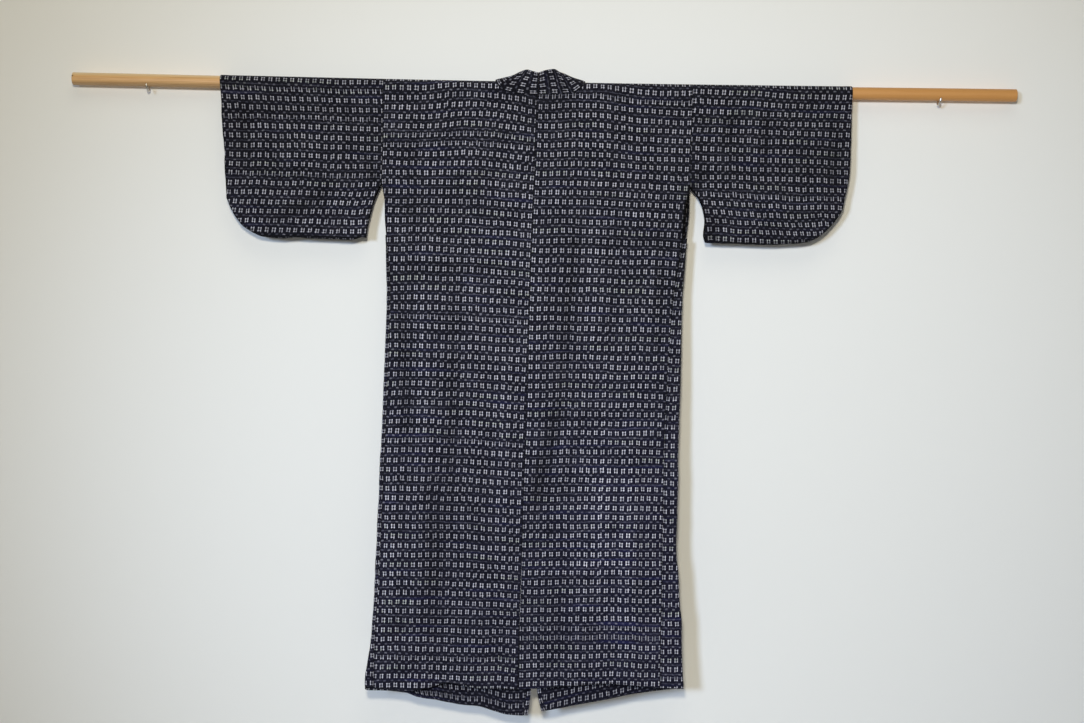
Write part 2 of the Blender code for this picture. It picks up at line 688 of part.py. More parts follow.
def main():
    for item in list(bpy.data.objects):
        bpy.data.objects.remove(item)
    parts = bpy.data.collections.new(COLLECTION)
    tools = bpy.data.collections.new("joined_shapes")
    bpy.context.scene.collection.children.link(parts)
    bpy.context.scene.collection.children.link(tools)
    cotton = new_material("indigo_cotton", (0.012, 0.013, 0.030), 0.9)
    wood = new_material("pale_wood", (0.54, 0.33, 0.16), 0.55)
    steel = new_material("plated_steel", (0.62, 0.60, 0.56), 0.3, 1.0)
    for side in ("left", "right"):
        add_cloth("body_" + side, body_rows(side), WALL, parts, cotton)
        add_cloth("sleeve_" + side, sleeve_rings(side), WALL, parts, cotton, ring=True)
        add_cloth("gore_" + side, gore_rows(side), WALL, parts, cotton)
        add_cloth("collar_" + side, collar_rows(side), COLLAR_WALL, parts, cotton)
    add_pole(parts, wood)
    for hook in HOOKS:
        add_hook(hook, parts, tools, steel)


main()
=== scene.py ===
"""A long indigo kasuri haori, hung with its back to the viewer on a round pole that lies on two wall hooks.

Lengths are metres in the CAD's frame: +X along the pole to the viewer's right, +Y into the wall, +Z up. Drops are
measured down from the pole's axis and depths out from the upright plane through it, as in the CAD. Only the rows
of the tables are written in millimetres.
"""

import math
from collections import namedtuple

import bpy
import numpy as np
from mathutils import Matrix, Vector

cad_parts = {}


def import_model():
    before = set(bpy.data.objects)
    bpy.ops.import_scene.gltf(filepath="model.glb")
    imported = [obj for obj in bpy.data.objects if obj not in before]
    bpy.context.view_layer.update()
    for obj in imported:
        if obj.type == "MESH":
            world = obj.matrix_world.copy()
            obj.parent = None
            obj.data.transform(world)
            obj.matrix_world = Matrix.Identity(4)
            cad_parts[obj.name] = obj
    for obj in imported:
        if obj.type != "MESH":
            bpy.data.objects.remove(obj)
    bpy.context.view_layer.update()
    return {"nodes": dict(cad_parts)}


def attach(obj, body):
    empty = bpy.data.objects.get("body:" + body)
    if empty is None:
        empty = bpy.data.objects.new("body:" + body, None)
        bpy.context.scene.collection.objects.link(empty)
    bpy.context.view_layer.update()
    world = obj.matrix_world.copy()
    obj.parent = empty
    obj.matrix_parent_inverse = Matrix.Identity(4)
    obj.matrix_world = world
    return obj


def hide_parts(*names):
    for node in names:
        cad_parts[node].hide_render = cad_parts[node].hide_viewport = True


OUTWARD = {"left": -1.0, "right": 1.0}
UV_NAME = "weave"
# Name of the sheets' attribute of painted shade and painted light, with broad fading mixed in
SHADE_AND_WEAR_NAME = "shade_and_wear"

# Camera: a 50 mm lens, level, turned a little about its own axis
LENS = 50.0
SENSOR = 36.0
CAMERA_X = 0.00448
CAMERA_AWAY = 2.8938
CAMERA_Z = -0.5268
CAMERA_ROLL = math.radians(1.03)

# Values of the CAD that the cloth follows
WALL = 0.0013
COLLAR_WALL = 0.0026
SHOWN_GAP = 0.0001
POLE_LENGTH = 1.812
POLE_RADIUS = 0.012
POLE_SAG = 0.004
HOOK_RIGHT_X = 0.7600
POLE_Y = -0.02675
POLE_CLEARANCE = 0.00045
FOLD_RADIUS = POLE_RADIUS + POLE_CLEARANCE + WALL / 2
LENGTH_OVER_POLE = math.pi * FOLD_RADIUS


def table(kind, lengths, *rows):
    """Rows of numbers as named records. The first values of a row, so many, are lengths in millimetres."""
    return tuple(kind(*(value / 1000.0 for value in row[:lengths]), *row[lengths:]) for row in rows)


# Depth of the two layers, in the middle of a panel and at its sides
Layer = namedtuple("Layer", "drop middle side")
LAYERS = (Layer(0.0, FOLD_RADIUS, FOLD_RADIUS),) + table(
    Layer, 3,
    (50, 12.6, 12), (120, 11.8, 10.4), (182, 11.2, 9), (300, 10.4, 6.6), (600, 9.6, 6), (900, 9.6, 6),
    (1220, 10.2, 6.2),
)
SIDE_BLEND = 0.090

# Places across of the panels' edges, of the gores' folds and of the front's opening
Section = namedtuple(
    "Section",
    "drop seam back_left back_right front_left front_right fold_left fold_right open_left open_right",
)
SECTIONS = table(
    Section, 10,
    (0, -14, -309, 283, -309, 283, -309, 283, -86, 68),
    (100, -16, -309, 283, -309, 283, -309, 283, -80, 64),
    (182, -17, -309, 283, -309, 283, -309, 283, -72, 57),
    (222, -18, -303, 274, -303, 283, -306, 285, -67, 53),
    (252, -18, -302, 271, -303, 281, -306, 284, -64, 51),
    (285, -19, -299, 270, -299, 277, -304, 282, -60, 48),
    (400, -21, -289, 254, -287, 265, -295, 271, -48, 38),
    (550, -23, -291, 246, -280, 264, -298, 270, -36, 29),
    (670, -25, -294, 242, -275, 262, -301, 270, -29, 24),
    (850, -27, -299, 242, -268, 254, -306, 269, -21, 19),
    (960, -28, -302, 242, -263, 258, -309, 277, -18, 17),
    (1050, -30, -307, 242, -263, 263, -314, 283, -17, 16),
    (1150, -31, -308, 242, -277, 268, -325, 288, -15, 16),
    (1220, -32, -308, 242, -283, 269, -330, 289, -22, 31),
)
NECK_ACROSS = {"left": 0.072, "right": 0.082}
NECK_DROP = 0.0245
GORE_TOP = 0.285
NOMINAL_HEM = 1.150
FIRST_DROP = 0.004

Hem = namedtuple("Hem", "x drop")
BACK_HEM = table(
    Hem, 2,
    (-330, 1148), (-292, 1157), (-244, 1159), (-205, 1153), (-163, 1143), (-130, 1148), (-100, 1151), (-32, 1152),
    (5, 1150), (71, 1143), (144, 1139), (194, 1142), (239, 1146), (290, 1143),
)
FRONT_HEM = table(
    Hem, 2,
    (-330, 1159), (-244, 1167), (-221, 1176), (-184, 1181), (-137, 1188), (-113, 1189), (-75, 1200), (-49, 1206),
    (-13, 1207), (10, 1200), (80, 1186), (166, 1168), (238, 1154), (290, 1147),
)

# The CAD's soft folds
FOLD_GROWS = 0.35
FOLD_DIES = 0.25
Fold = namedtuple("Fold", "top_x foot_x top foot half_width rise")
BACK_FOLDS = table(
    Fold, 6,
    (-225, -244, 620, 1400, 50, 5), (-170, -163, 800, 1400, 38, -3), (-110, -100, 700, 1400, 45, 4.5),
    (-30, -35, 850, 1400, 40, 2), (95, 70, 740, 1400, 48, 3.5), (150, 146, 860, 1400, 36, -2.2),
    (205, 196, 660, 1400, 42, 4), (-250, -190, 100, 520, 55, 2.2), (215, 160, 80, 500, 60, 2.4),
    (-60, -90, 20, 420, 50, 1.8), (45, 70, 20, 460, 52, 2),
)
FRONT_FOLDS = table(
    Fold, 6,
    (-200, -205, 700, 1400, 45, 4.5), (-120, -120, 820, 1400, 30, -3), (-85, -70, 660, 1400, 40, 3),
    (75, 85, 720, 1400, 44, 3.5), (180, 190, 780, 1400, 45, 4.5), (-240, -170, 80, 560, 55, 2.6),
    (220, 150, 100, 600, 55, 2.6),
)

# Sleeves: their edges and, at shares of their width from the armhole on, their bottoms
SleeveEdge = namedtuple("SleeveEdge", "drop left_in left_out right_in right_out")
SLEEVE_EDGES = table(
    SleeveEdge, 5,
    (0, -309, -622, 283, 590), (30, -309, -619, 283, 589), (74, -309, -616, 283, 588), (131, -309, -612, 283, 588),
    (182, -309, -609, 283, 584), (202, -316, -608, 297, 580), (222, -324, -607, 307, 577),
    (250, -331, -606, 312, 576), (275, -336, -606, 310, 576), (300, -338, -606, 318, 576),
)
SleeveBottom = namedtuple("SleeveBottom", "left right share")
SLEEVE_BOTTOMS = table(
    SleeveBottom, 2,
    (292, 290, 0), (301, 297, 0.12), (301, 297, 0.25), (301, 297, 0.38), (299, 297, 0.5), (301, 296, 0.62),
    (297, 292, 0.74), (288, 284, 0.82), (276, 272, 0.88), (261, 257, 0.93), (243, 240, 0.97), (224, 221, 1),
)
SLEEVE_SPAN = 0.3
SLEEVE_TOP_LEVEL = 0.012
SLEEVE_TURN = 0.006
SLEEVE_NARROWING = 0.080
# How far a sleeve's bottom is drawn up, and over what shares of its width this begins and ends
Lift = namedtuple("Lift", "rise inner outer")
SLEEVE_LIFTS = {"left": Lift(0.0040, 0.04, 0.55), "right": Lift(0.0052, 0.10, 0.09)}
# A sleeve's folds have shares of its width in place of lengths across
SLEEVE_FOLDS_START = 0.12
SLEEVE_FOLDS_END = 0.050
SLEEVE_FOLDS = (
    Fold(0.18, 0.34, 0.03, 0.29, 0.14, 0.0024),
    Fold(0.52, 0.60, 0.06, 0.34, 0.12, 0.0030),
    Fold(0.84, 0.74, 0.05, 0.32, 0.10, 0.0022),
)

GORE_STRAIGHT = 0.002
GORE_RUN = 0.001
GORE_TURN = 0.004
GORE_SINKS = 3.0
GORE_TIP = 0.10
GORE_TIP_PAST = 0.0003
GORE_TIP_LENGTH = 0.090
GORE_TOP_THINS = 0.5
GORE_TOP_ROUND = 0.003

# The collar: how far it reaches past the edge of the neck and front, and its rows round the neck
COLLAR_WIDTH = 0.050
COLLAR_PAST_NECK = 0.041
COLLAR_PAST_FRONT = 0.010
COLLAR_SETTLED = 0.250
COLLAR_CLEARANCE = 0.0006
COLLAR_LIFT = WALL / 2 + COLLAR_CLEARANCE + COLLAR_WALL / 2
COLLAR_SEAM_X = -0.012
NeckRow = namedtuple("NeckRow", "free_across free_drop fold_across fold_depth fold_height along free_angle")
NECK_ROWS = {
    "left": table(
        NeckRow, 5,
        (0, 14, 0, 12.5, 29.5, 0, 90),
        (24, 13.8, 11, 12.2, 32, 0.14, 90),
        (47, 11.5, 22, 11.2, 35, 0.28, 90),
        (64, 7.5, 33, 9, 32, 0.4, 90),
        (75, 1, 40, 5, 29, 0.5, 84),
        (80, 0, 43, 0, 27, 0.6, 56),
        (82, 0, 45, -6, 25, 0.7, 20),
        (83, 0, 46, -11.5, 20, 0.8, -20),
        (83, 0, 46, -14.8, 11, 0.9, -56),
        (83, 0, 45, -15.6, 0, 1, -90),
    ),
    "right": table(
        NeckRow, 5,
        (0, 13, 0, 12.5, 29.5, 0, 90),
        (22, 12.5, 14, 12.2, 34.5, 0.14, 90),
        (47, 11, 30, 11.2, 37, 0.28, 90),
        (68, 8.5, 42, 9, 31, 0.4, 90),
        (81, 1, 51, 5, 29, 0.5, 84),
        (87, 0, 56, 0, 26.5, 0.6, 56),
        (89, 0, 58, -6, 24.5, 0.7, 20),
        (90, 0, 56, -11.5, 19.5, 0.8, -20),
        (90, 0, 53, -14.8, 10.5, 0.9, -56),
        (90, 0, 49, -15.6, 0, 1, -90),
    ),
}
BODY_COLUMNS = 8
COLUMNS_UNDER_COLLAR = 3
PASSES = 4

# Visible cloth: half its thickness, and that of the hem's turned-up edge
CLOTH_HALF = 0.00040
HEM_HALF = 0.00065
HEM_DEPTH = 0.011
HEM_STEP = 0.0015
CLOTH_ROUND = 0.0012
CLOTH_LEAST = 0.06
COLLAR_HALF = 0.00115
COLLAR_ROUND = 0.002
COLLAR_LEAST = 0.1
COLLAR_SQUARENESS = 6
COLLAR_EDGE_LEAST = 0.05

# Creases: from one point to another, how far the line bows to the viewer's left of its run, half
# its width and how far out it stands. A trough has a negative rise.
Crease = namedtuple("Crease", "x1 drop1 x2 drop2 bow half_width rise")
BACK_CREASES = table(
    Crease, 7,
    (-281, 300, -247, 760, 5, 17, -4.2), (-238, 300, -218, 740, 4, 19, 2.6), (-205, 660, -198, 1100, 4, 34, -4),
    (-170, 340, -164, 880, 2, 16, -2.8), (-132, 160, -118, 840, -3, 22, 2.6), (-66, 440, -60, 1100, -4, 26, 2.2),
    (-282, 720, -276, 1120, 0, 16, 1.8), (-272, 50, -240, 300, 6, 40, -2.4), (-190, 30, -178, 240, 2, 16, -1.6),
    (-90, 130, -24, 30, 2, 12, -2), (-58, 200, -26, 80, 3, 14, 1.8), (84, 160, 46, 680, -10, 17, -4.4),
    (52, 560, -18, 880, -5, 22, -5.2), (66, 620, 18, 860, -4, 13, 1.6), (124, 500, 54, 760, 0, 10, -3.2),
    (112, 200, 98, 560, -4, 18, 2.4), (146, 240, 136, 540, -2, 12, -2), (118, 620, 124, 980, 4, 36, 3),
    (130, 500, 130, 1200, 4, 105, 2), (172, 540, 176, 1080, 0, 20, 3), (150, 720, 150, 920, 0, 9, -1.8),
    (40, 920, 52, 1180, 0, 22, -2), (200, 600, 204, 1100, 0, 10, -1.8), (238, 220, 230, 580, -2, 18, -3.6),
    (212, 200, 208, 500, 0, 14, 1.8), (18, 50, 28, 260, 2, 20, 2), (-272, 346, -30, 336, 2, 10, -2.6),
    (-290, 256, -140, 250, 2, 10, 1.4), (-10, 298, 250, 290, -2, 11, -2.2), (-10, 272, 200, 264, 0, 10, 1.4),
    (-30, 922, 240, 917, 2, 12, 2.6), (-30, 944, 240, 940, 2, 10, -2), (-306, 200, -212, 262, -5, 12, -2),
    (276, 206, 192, 300, 6, 14, -2.4), (-290, 602, -180, 610, 2, 10, -1.2), (-240, 780, -60, 771, -2, 11, -1.4),
    (60, 560, 235, 552, 3, 11, 1.4), (-285, 1040, -120, 1052, 2, 12, -1.2),
)
FRONT_CREASES = table(
    Crease, 7,
    (-270, 200, -245, 740, 6, 28, -3.6), (-215, 360, -190, 1060, -8, 30, 3.9), (-150, 280, -128, 900, 6, 22, -4.2),
    (-90, 620, -72, 1160, 0, 20, 2.4), (240, 240, 215, 820, -6, 26, -3.9), (188, 300, 158, 1000, 8, 30, 3.6),
    (122, 400, 104, 1080, -4, 20, -3.6), (72, 660, 60, 1150, 0, 18, 2.3), (-300, 220, -200, 292, 4, 13, -2.7),
    (274, 215, 170, 306, -4, 13, -2.7), (-265, 556, -110, 566, 2, 11, -1.6), (80, 628, 250, 618, 2, 11, -1.6),
    (-255, 870, -120, 880, 2, 12, -1.8), (-236, 1100, -234, 1240, 0, 6.5, -2.2), (-222, 1080, -219, 1240, 0, 6, 2),
    (-206, 1090, -203, 1240, 0, 6.2, -2.4), (-193, 1070, -188, 1240, 0, 5.8, 1.8),
    (-178, 1100, -172, 1250, 0, 6.6, -2), (-160, 1090, -152, 1250, 0, 8, 1.6),
)
SLEEVE_BACK_CREASES = table(
    Crease, 7,
    (-548, 288, -372, 182, 3, 18, -4), (-486, 296, -334, 196, 3, 15, 3.4), (-506, -30, -503, 110, 0, 14, 2.4),
    (-585, 0, -572, 200, 3, 40, -3.4), (-478, -30, -476, 160, 0, 12, -1.8), (-312, 206, -352, 110, -2, 14, -3),
    (-372, -20, -378, 150, 2, 14, -1.8), (-440, 20, -446, 180, 4, 18, 1.6), (-606, 172, -470, 160, 2, 10, -1.4),
    (388, -40, 332, 150, 2, 14, -3.4), (424, -30, 426, 190, 2, 18, -4), (404, -30, 392, 130, 0, 12, 2.2),
    (352, -30, 318, 140, 0, 14, 2.4), (286, 210, 318, 140, 2, 18, -4.2), (306, 304, 352, 232, -2, 16, -3.6),
    (480, 20, 486, 220, -4, 24, 2.2), (560, 20, 566, 230, 0, 26, -3.2), (460, 276, 400, 196, 3, 14, -2.2),
    (330, 182, 540, 190, 2, 10, -1.4),
)
SLEEVE_FRONT_CREASES = table(
    Crease, 7,
    (-330, 200, -400, 110, 4, 16, -3.3), (-455, 30, -470, 240, 4, 24, 3), (-530, 50, -520, 230, 0, 18, -2.7),
    (-390, 280, -440, 200, 2, 13, -2.4), (300, 200, 372, 118, -4, 16, -3.3), (430, 30, 444, 230, 4, 22, 2.7),
    (505, 50, 498, 220, 0, 17, -2.7), (362, 278, 414, 198, 2, 13, -2.3),
)
# The cloth lies tight on the pole and is free to crease a little below it
CREASE_TOP = 0.012
CREASE_FULL = 0.075
COLLAR_COVERS = 0.22
COLLAR_FREES = 0.12
BOTTOM_TIGHT = 0.012

# Seams sink a little between the pieces and pucker beside them, each at its own place in the puckers' lattice
SEAM_SINK = 0.0006
SEAM_WIDTH = 0.0030
SEAM_HOLDS = 0.012
SEAM_LEAVES = 0.35
PUCKER = 0.00035
PUCKER_WIDTH = 0.020
PUCKER_LENGTH = 0.031
PUCKER_SEED = 31
SIDE_PUCKERS = 0.7
FRONT_PUCKERS = 1.9
SLEEVE_PUCKERS = 0.3

# Free edges and folds aren't quite straight
WAVER = 0.0012
WAVER_LENGTH = 0.034
WAVER_FROM = 20.0
WAVER_FINER = 2.7
WAVER_FINER_SIZE = 0.4
WAVER_STARTS = 0.1
CUFF_WAVERS = 0.8
WAVER_SEEDS = {"sleeve_left": 51, "sleeve_right": 61, "gore_left": 71, "gore_right": 81}

# Crinkles of the loosely woven cotton, in cells of its pattern
VALLEY_DEPTH = 0.00060
VALLEY_WIDTH = 0.17
Ripple = namedtuple("Ripple", "seed columns rows size")
RIPPLES = (
    Ripple(11, 2.6, 0.9, 0.00022),
    Ripple(12, 9.0, 2.4, 0.00040),
    Ripple(13, 6.0, 9.0, 0.00040),
    Ripple(14, 16.0, 6.0, 0.00070),
)
# How a valley changes along its row: its seed, over how many columns, and how far apart the rows' values lie
Wander = namedtuple("Wander", "seed columns row_step")
VALLEY_LINE = Wander(21, 4.0, 1.7)
VALLEY_LINE_SWAY = 0.13
VALLEY_SIZE = Wander(22, 5.0, 2.3)
VALLEY_SIZE_MEAN = 0.55
VALLEY_SIZE_SWAY = 0.45
# The collar's inner layers make it uneven in thickness, by shares of it
COLLAR_PADDING = Ripple(41, 2.0, 1.6, 0.10)
LATTICE = 64

# How much darker (or lighter) the cloth is painted: painted shade in crease troughs, seams, edges and wherever
# another layer hides it, painted light on crease ridges; sleeves and collar darker overall
CREASE_SHADE_RISE = 0.004
SLEEVE_TONE = -0.42
COLLAR_TONE = -0.85
INSIDE_SHADE = -0.9
SEAM_SHADE = -1.6
SEAM_LINE = 0.0016
EDGE_SHADE = -1.0
EDGE_LINE = 0.0040
SIDE_SHADE = -2.2
SIDE_SHADE_TOP = 0.182
SIDE_SHADE_FOOT = 0.52
SIDE_SHADE_WIDTH = 0.020
ROLLED_SHADE = 1.4
ROLLED_WIDTH = 0.009
HEM_SHADE = -1.5
HEM_SHADE_ABOVE = 0.010
HEM_SHADE_BELOW = 0.016

# A broad place: its middle, how far it reaches across and down, and by how much it changes what it's used for
Place = namedtuple("Place", "x drop wide tall amount")
# Broad places where the cloth is painted lighter or darker than the rest: partly fading and bleaching, partly
# painted light and shade of its broad curves
BACK_TONES = table(
    Place, 4,
    (165, 810, 100, 90, 0.55), (170, 560, 80, 60, 0.35), (105, 912, 120, 12, 0.5), (25, 765, 50, 35, -0.35),
    (-165, 620, 22, 280, -0.22), (-175, 830, 25, 40, -0.3), (-70, 450, 65, 240, 0.25), (-150, 350, 110, 10, -0.25),
    (110, 295, 160, 10, -0.15), (0, 20, 60, 45, -0.8), (-90, 1000, 180, 80, -0.2), (220, 1020, 60, 80, 0.35),
)
SLEEVE_TONES = table(
    Place, 4,
    (-500, 45, 110, 35, -0.35), (-345, 255, 35, 35, 0.5), (520, 140, 65, 35, -0.4), (420, 210, 40, 25, 0.3),
    (310, 245, 30, 30, -0.6),
)

# Where the pattern's columns and rows run on each panel of the back: how many of them lie up to a point, as a
# start, so many for each metre across and down, and the bow, slant and stretch of their lines
Grain = namedtuple("Grain", "start across down bow slant stretch")
COLUMNS_OF = {
    "back_left": Grain(0.34, 75.68, 1.89, 4.92, 1.15, -0.31),
    "back_right": Grain(0.33, 75.31, 2.92, -5.79, 1.00, -1.39),
    "sleeve_left": Grain(-0.37, 68.27, -8.41, -2.83, 4.22, 40.18),
    "sleeve_right": Grain(-0.44, 65.15, 6.80, 8.95, 3.22, -30.83),
}
ROWS_OF = {
    "back_left": Grain(-0.33, -4.56, 53.49, -9.53, 0.63, 1.14),
    "back_right": Grain(0.36, -0.68, 52.90, -2.82, 2.39, 1.74),
    "sleeve_left": Grain(-0.26, -2.14, 55.88, -1.68, 2.57, 3.00),
    "sleeve_right": Grain(0.35, -1.75, 54.13, 0.52, -0.06, 9.90),
}
# Their swerves, as parts of a column and of a row
COLUMN_DRIFTS = {
    "back_left": table(
        Place, 4,
        (-110, 0, 125, 90, -0.5), (-260, 160, 40, 30, 0.16), (-20, 110, 30, 50, -0.24), (-100, 380, 50, 80, 0.1),
        (-290, 510, 35, 110, -0.55), (-200, 540, 80, 130, -0.15), (-150, 810, 90, 60, 0.19),
        (-10, 980, 30, 120, 0.13), (-330, -1190, 140, 55, -4.2),
    ),
    "back_right": table(
        Place, 4,
        (90, 0, 95, 85, 0.4), (210, 200, 65, 80, -0.18), (60, 320, 30, 60, -0.11), (0, 620, 45, 130, -0.28),
        (150, 540, 70, 130, 0.11), (70, 800, 70, 55, 0.17), (230, 840, 32, 130, 0.34), (10, 990, 45, 80, 0.15),
        (165, 1060, 50, 45, -0.17),
    ),
    "sleeve_left": table(
        Place, 4,
        (-320, 120, 25, 80, 0.2), (-350, 250, 45, 35, 0.5), (-500, 235, 80, 30, 0.13),
    ),
    "sleeve_right": table(
        Place, 4,
        (305, 40, 22, 40, -0.19), (370, 255, 60, 40, -0.52), (470, 285, 60, 30, -0.4),
    ),
}
ROW_DRIFTS = {
    "back_left": table(
        Place, 4,
        (-275, 20, 82, 120, -0.47), (-115, 60, 55, 130, 0.12), (0, 20, 35, 60, -0.26), (-80, 250, 110, 50, 0.07),
        (-150, 480, 110, 60, -0.05), (-150, 640, 170, 60, 0.05), (-270, 880, 55, 140, -0.1),
        (-165, 1020, 35, 120, -0.09), (-50, 1070, 50, 90, 0.2),
    ),
    "back_right": table(
        Place, 4,
        (220, 10, 80, 130, -0.37), (0, 40, 40, 110, -0.24), (85, 260, 75, 110, 0.11), (235, 310, 40, 60, 0.1),
        (0, 640, 40, 130, -0.15), (150, 500, 22, 220, -0.08), (110, 940, 70, 70, 0.08), (225, 1080, 30, 110, -0.18),
    ),
    "sleeve_left": table(
        Place, 4,
        (-320, 235, 30, 50, 0.22), (-440, 10, 110, 35, -0.11),
    ),
    "sleeve_right": table(
        Place, 4,
        (320, 260, 45, 50, 0.18), (480, 220, 30, 40, -0.09), (500, 20, 80, 30, -0.13), (550, 260, 30, 40, 0.15),
    ),
}
COLUMN_PITCH = 0.0134
ROW_PITCH = 0.0181
GORE_COLUMN_START = -0.25
GORE_ROWS = Grain(0.01, 0.0, 53.28, 0.0, 0.0, 1.45)
GORE_CRINKLE_AT = 31.0
GORE_CRINKLE = 0.8
GORE_CRINKLE_RUN = 0.008
COLLAR_COLUMN_START = -0.43
COLLAR_ROW_START = -0.43
COLLAR_ROW_PITCH = 0.0186
# Rows between the pieces' own stretches of the bolt, so that no two show the same slips of its threads
BOLT_ROWS = {
    "body_left": 200.0, "body_right": 400.0, "sleeve_left": 600.0, "sleeve_right": 800.0,
    "gore_left": 1000.0, "gore_right": 1200.0, "collar_left": 1400.0, "collar_right": 1600.0,
}

# Fineness of the cloth's mesh
BACK_STEP = 0.0026
FRONT_STEP = 0.0048
FOLD_TURN = 10.0
SEAM_SHARES = (0.0, 0.004, 0.009, 0.015, 0.023, 0.034)
INNER_SHARES = (0.055, 0.945)
BODY_SHARES = 44
SLEEVE_SHARES = 60
SLEEVE_STEP = 0.0030
SLEEVE_TURN_ANGLES = 9
GORE_STEP = 0.0035
GORE_SHARES = 9
GORE_ARC_STEPS = 12
NECK_STEPS = 60
COLLAR_STEP = 0.0048
COLLAR_SHARES = 14


def smooth_step(value):
    """A soft 0 to 1."""
    held = np.clip(value, 0.0, 1.0)
    return held * held * (3.0 - 2.0 * held)


def lerp(start, end, share):
    return start + (end - start) * share


def read(rows, key, column, where):
    """A smooth curve through one column of a table, which never swings past its values."""
    keys = np.array([getattr(row, key) for row in rows])
    values = np.array([getattr(row, column) for row in rows])
    secants = np.diff(values) / np.diff(keys)
    before = np.concatenate([secants[:1], secants])
    after = np.concatenate([secants, secants[-1:]])
    turns = before * after > 0.0
    slopes = np.where(turns, 2.0 * before * after / np.where(turns, before + after, 1.0), 0.0)
    held = np.clip(where, keys[0], keys[-1])
    at = np.clip(np.searchsorted(keys, held, side="right") - 1, 0, len(keys) - 2)
    span = keys[at + 1] - keys[at]
    t = (held - keys[at]) / span
    start = (1 + 2 * t) * (1 - t) ** 2 * values[at] + t * (1 - t) ** 2 * span * slopes[at]
    end = t * t * (3 - 2 * t) * values[at + 1] + t * t * (t - 1) * span * slopes[at + 1]
    return start + end


def section(column, drop):
    return read(SECTIONS, "drop", column, drop)


def sag(x):
    """How far the pole's axis, and all that hangs on it, lies below the hooks' height."""

    def dip(at):
        return POLE_SAG * (1.0 - np.minimum(np.abs(2.0 * at / POLE_LENGTH), 1.0) ** 2) ** 1.5

    return dip(x) - dip(HOOK_RIGHT_X)


def ridge(rise, along, dies, off):
    """Height of a ridge, by the share of its length and by how many of its half widths a point lies off it."""
    ends = smooth_step(along / FOLD_GROWS) * smooth_step((1.0 - along) / dies)
    return np.where(off < 1.0, rise * ends * (0.5 + 0.5 * np.cos(np.pi * off)), 0.0)


def fold_rise(folds, x, drop):
    """How far the CAD's soft folds lift the cloth."""
    rise = np.zeros(np.broadcast(x, drop).shape)
    for fold in folds:
        along = (drop - fold.top) / (fold.foot - fold.top)
        off = np.abs(x - lerp(fold.top_x, fold.foot_x, along)) / fold.half_width
        rise += ridge(fold.rise, along, FOLD_DIES, off)
    return rise


def crease_rise(creases, x, drop):
    """How far the listed creases lift or sink the cloth."""
    rise = np.zeros(np.broadcast(x, drop).shape)
    for crease in creases:
        run_x = crease.x2 - crease.x1
        run_drop = crease.drop2 - crease.drop1
        length = math.hypot(run_x, run_drop)
        along = ((x - crease.x1) * run_x + (drop - crease.drop1) * run_drop) / length**2
        aside = ((x - crease.x1) * run_drop - (drop - crease.drop1) * run_x) / length
        held = np.clip(along, 0.0, 1.0)
        off = np.abs(aside - crease.bow * 4.0 * held * (1.0 - held)) / crease.half_width
        rise += ridge(crease.rise, along, FOLD_GROWS, off)
    return rise * from_pole(drop)


def spread(places, x, drop):
    """What broad places add at a point."""
    total = 0.0
    for place in places:
        near = np.exp(-(((x - place.x) / place.wide) ** 4) - ((drop - place.drop) / place.tall) ** 2)
        total = total + place.amount * near
    return total


def lattice(seed, x, y):
    """Smooth random values from -1 to 1, one for each whole step of x and y."""
    chances = np.random.default_rng(seed).uniform(-1.0, 1.0, (LATTICE, LATTICE))
    left, low = np.floor(x).astype(int), np.floor(y).astype(int)

    def row(at):
        ends = chances[left % LATTICE, at % LATTICE], chances[(left + 1) % LATTICE, at % LATTICE]
        return lerp(*ends, smooth_step(x - left))

    return lerp(row(low), row(low + 1), smooth_step(y - low))


def rippled(ripple, u, v):
    return ripple.size * lattice(ripple.seed, u / ripple.columns, v / ripple.rows)


def crinkle(cells):
    """Fine crinkles of the cloth: a valley between the pattern's rows, uneven along it, and softer ripples."""
    u, v = cells[..., 0], cells[..., 1]
    row = np.floor(v)

    def wander(kind):
        return lattice(kind.seed, u / kind.columns, row * kind.row_step)

    line = v - row - 0.5 + VALLEY_LINE_SWAY * wander(VALLEY_LINE)
    depth = VALLEY_DEPTH * (VALLEY_SIZE_MEAN + VALLEY_SIZE_SWAY * wander(VALLEY_SIZE))
    rise = -depth * np.exp(-((line / VALLEY_WIDTH) ** 2))
    for ripple in RIPPLES:
        rise = rise + rippled(ripple, u, v)
    return rise


def seam_rise(from_seam, along):
    """The sunk line of a seam and the puckers beside it."""
    sink = -SEAM_SINK * np.exp(-((from_seam / SEAM_WIDTH) ** 2))
    wander = along / PUCKER_LENGTH
    return sink + PUCKER * lattice(PUCKER_SEED, wander, 0.0 * wander) * np.exp(-from_seam / PUCKER_WIDTH)


def cloth_rise(crease, cell, loose, seams, free=1.0):
    """Creases, crinkles and sunk seams together. Each seam is a distance from it and a place along it."""
    near = np.minimum.reduce([distance for distance, _ in seams])
    held = lerp(SEAM_LEAVES, 1.0, smooth_step(near / SEAM_HOLDS))
    puckers = sum(seam_rise(distance, along) for distance, along in seams)
    return (crease + crinkle(cell) * loose) * (free * held) + puckers * loose


def seam_shade(*distances):
    """How much darker the cloth is in the groove of a seam."""
    return SEAM_SHADE * np.exp(-((np.minimum.reduce(distances) / SEAM_LINE) ** 2))


def edge_shade(*distances):
    """How much darker a turned-in free edge is."""
    return EDGE_SHADE * np.exp(-((np.minimum.reduce(distances) / EDGE_LINE) ** 2))


def side_shade(drop):
    """How much darker the gore and the front's side are where the back hides them from the light."""
    return SIDE_SHADE * smooth_step((SIDE_SHADE_FOOT - drop) / (SIDE_SHADE_FOOT - SIDE_SHADE_TOP))


def waver(seed, along):
    """How far a free edge wanders from its line."""
    steps = np.asarray(along) / WAVER_LENGTH + WAVER_FROM
    finer = lattice(seed + 1, WAVER_FINER * steps, 0.0 * steps)
    return WAVER * (lattice(seed, steps, 0.0 * steps) + WAVER_FINER_SIZE * finer)


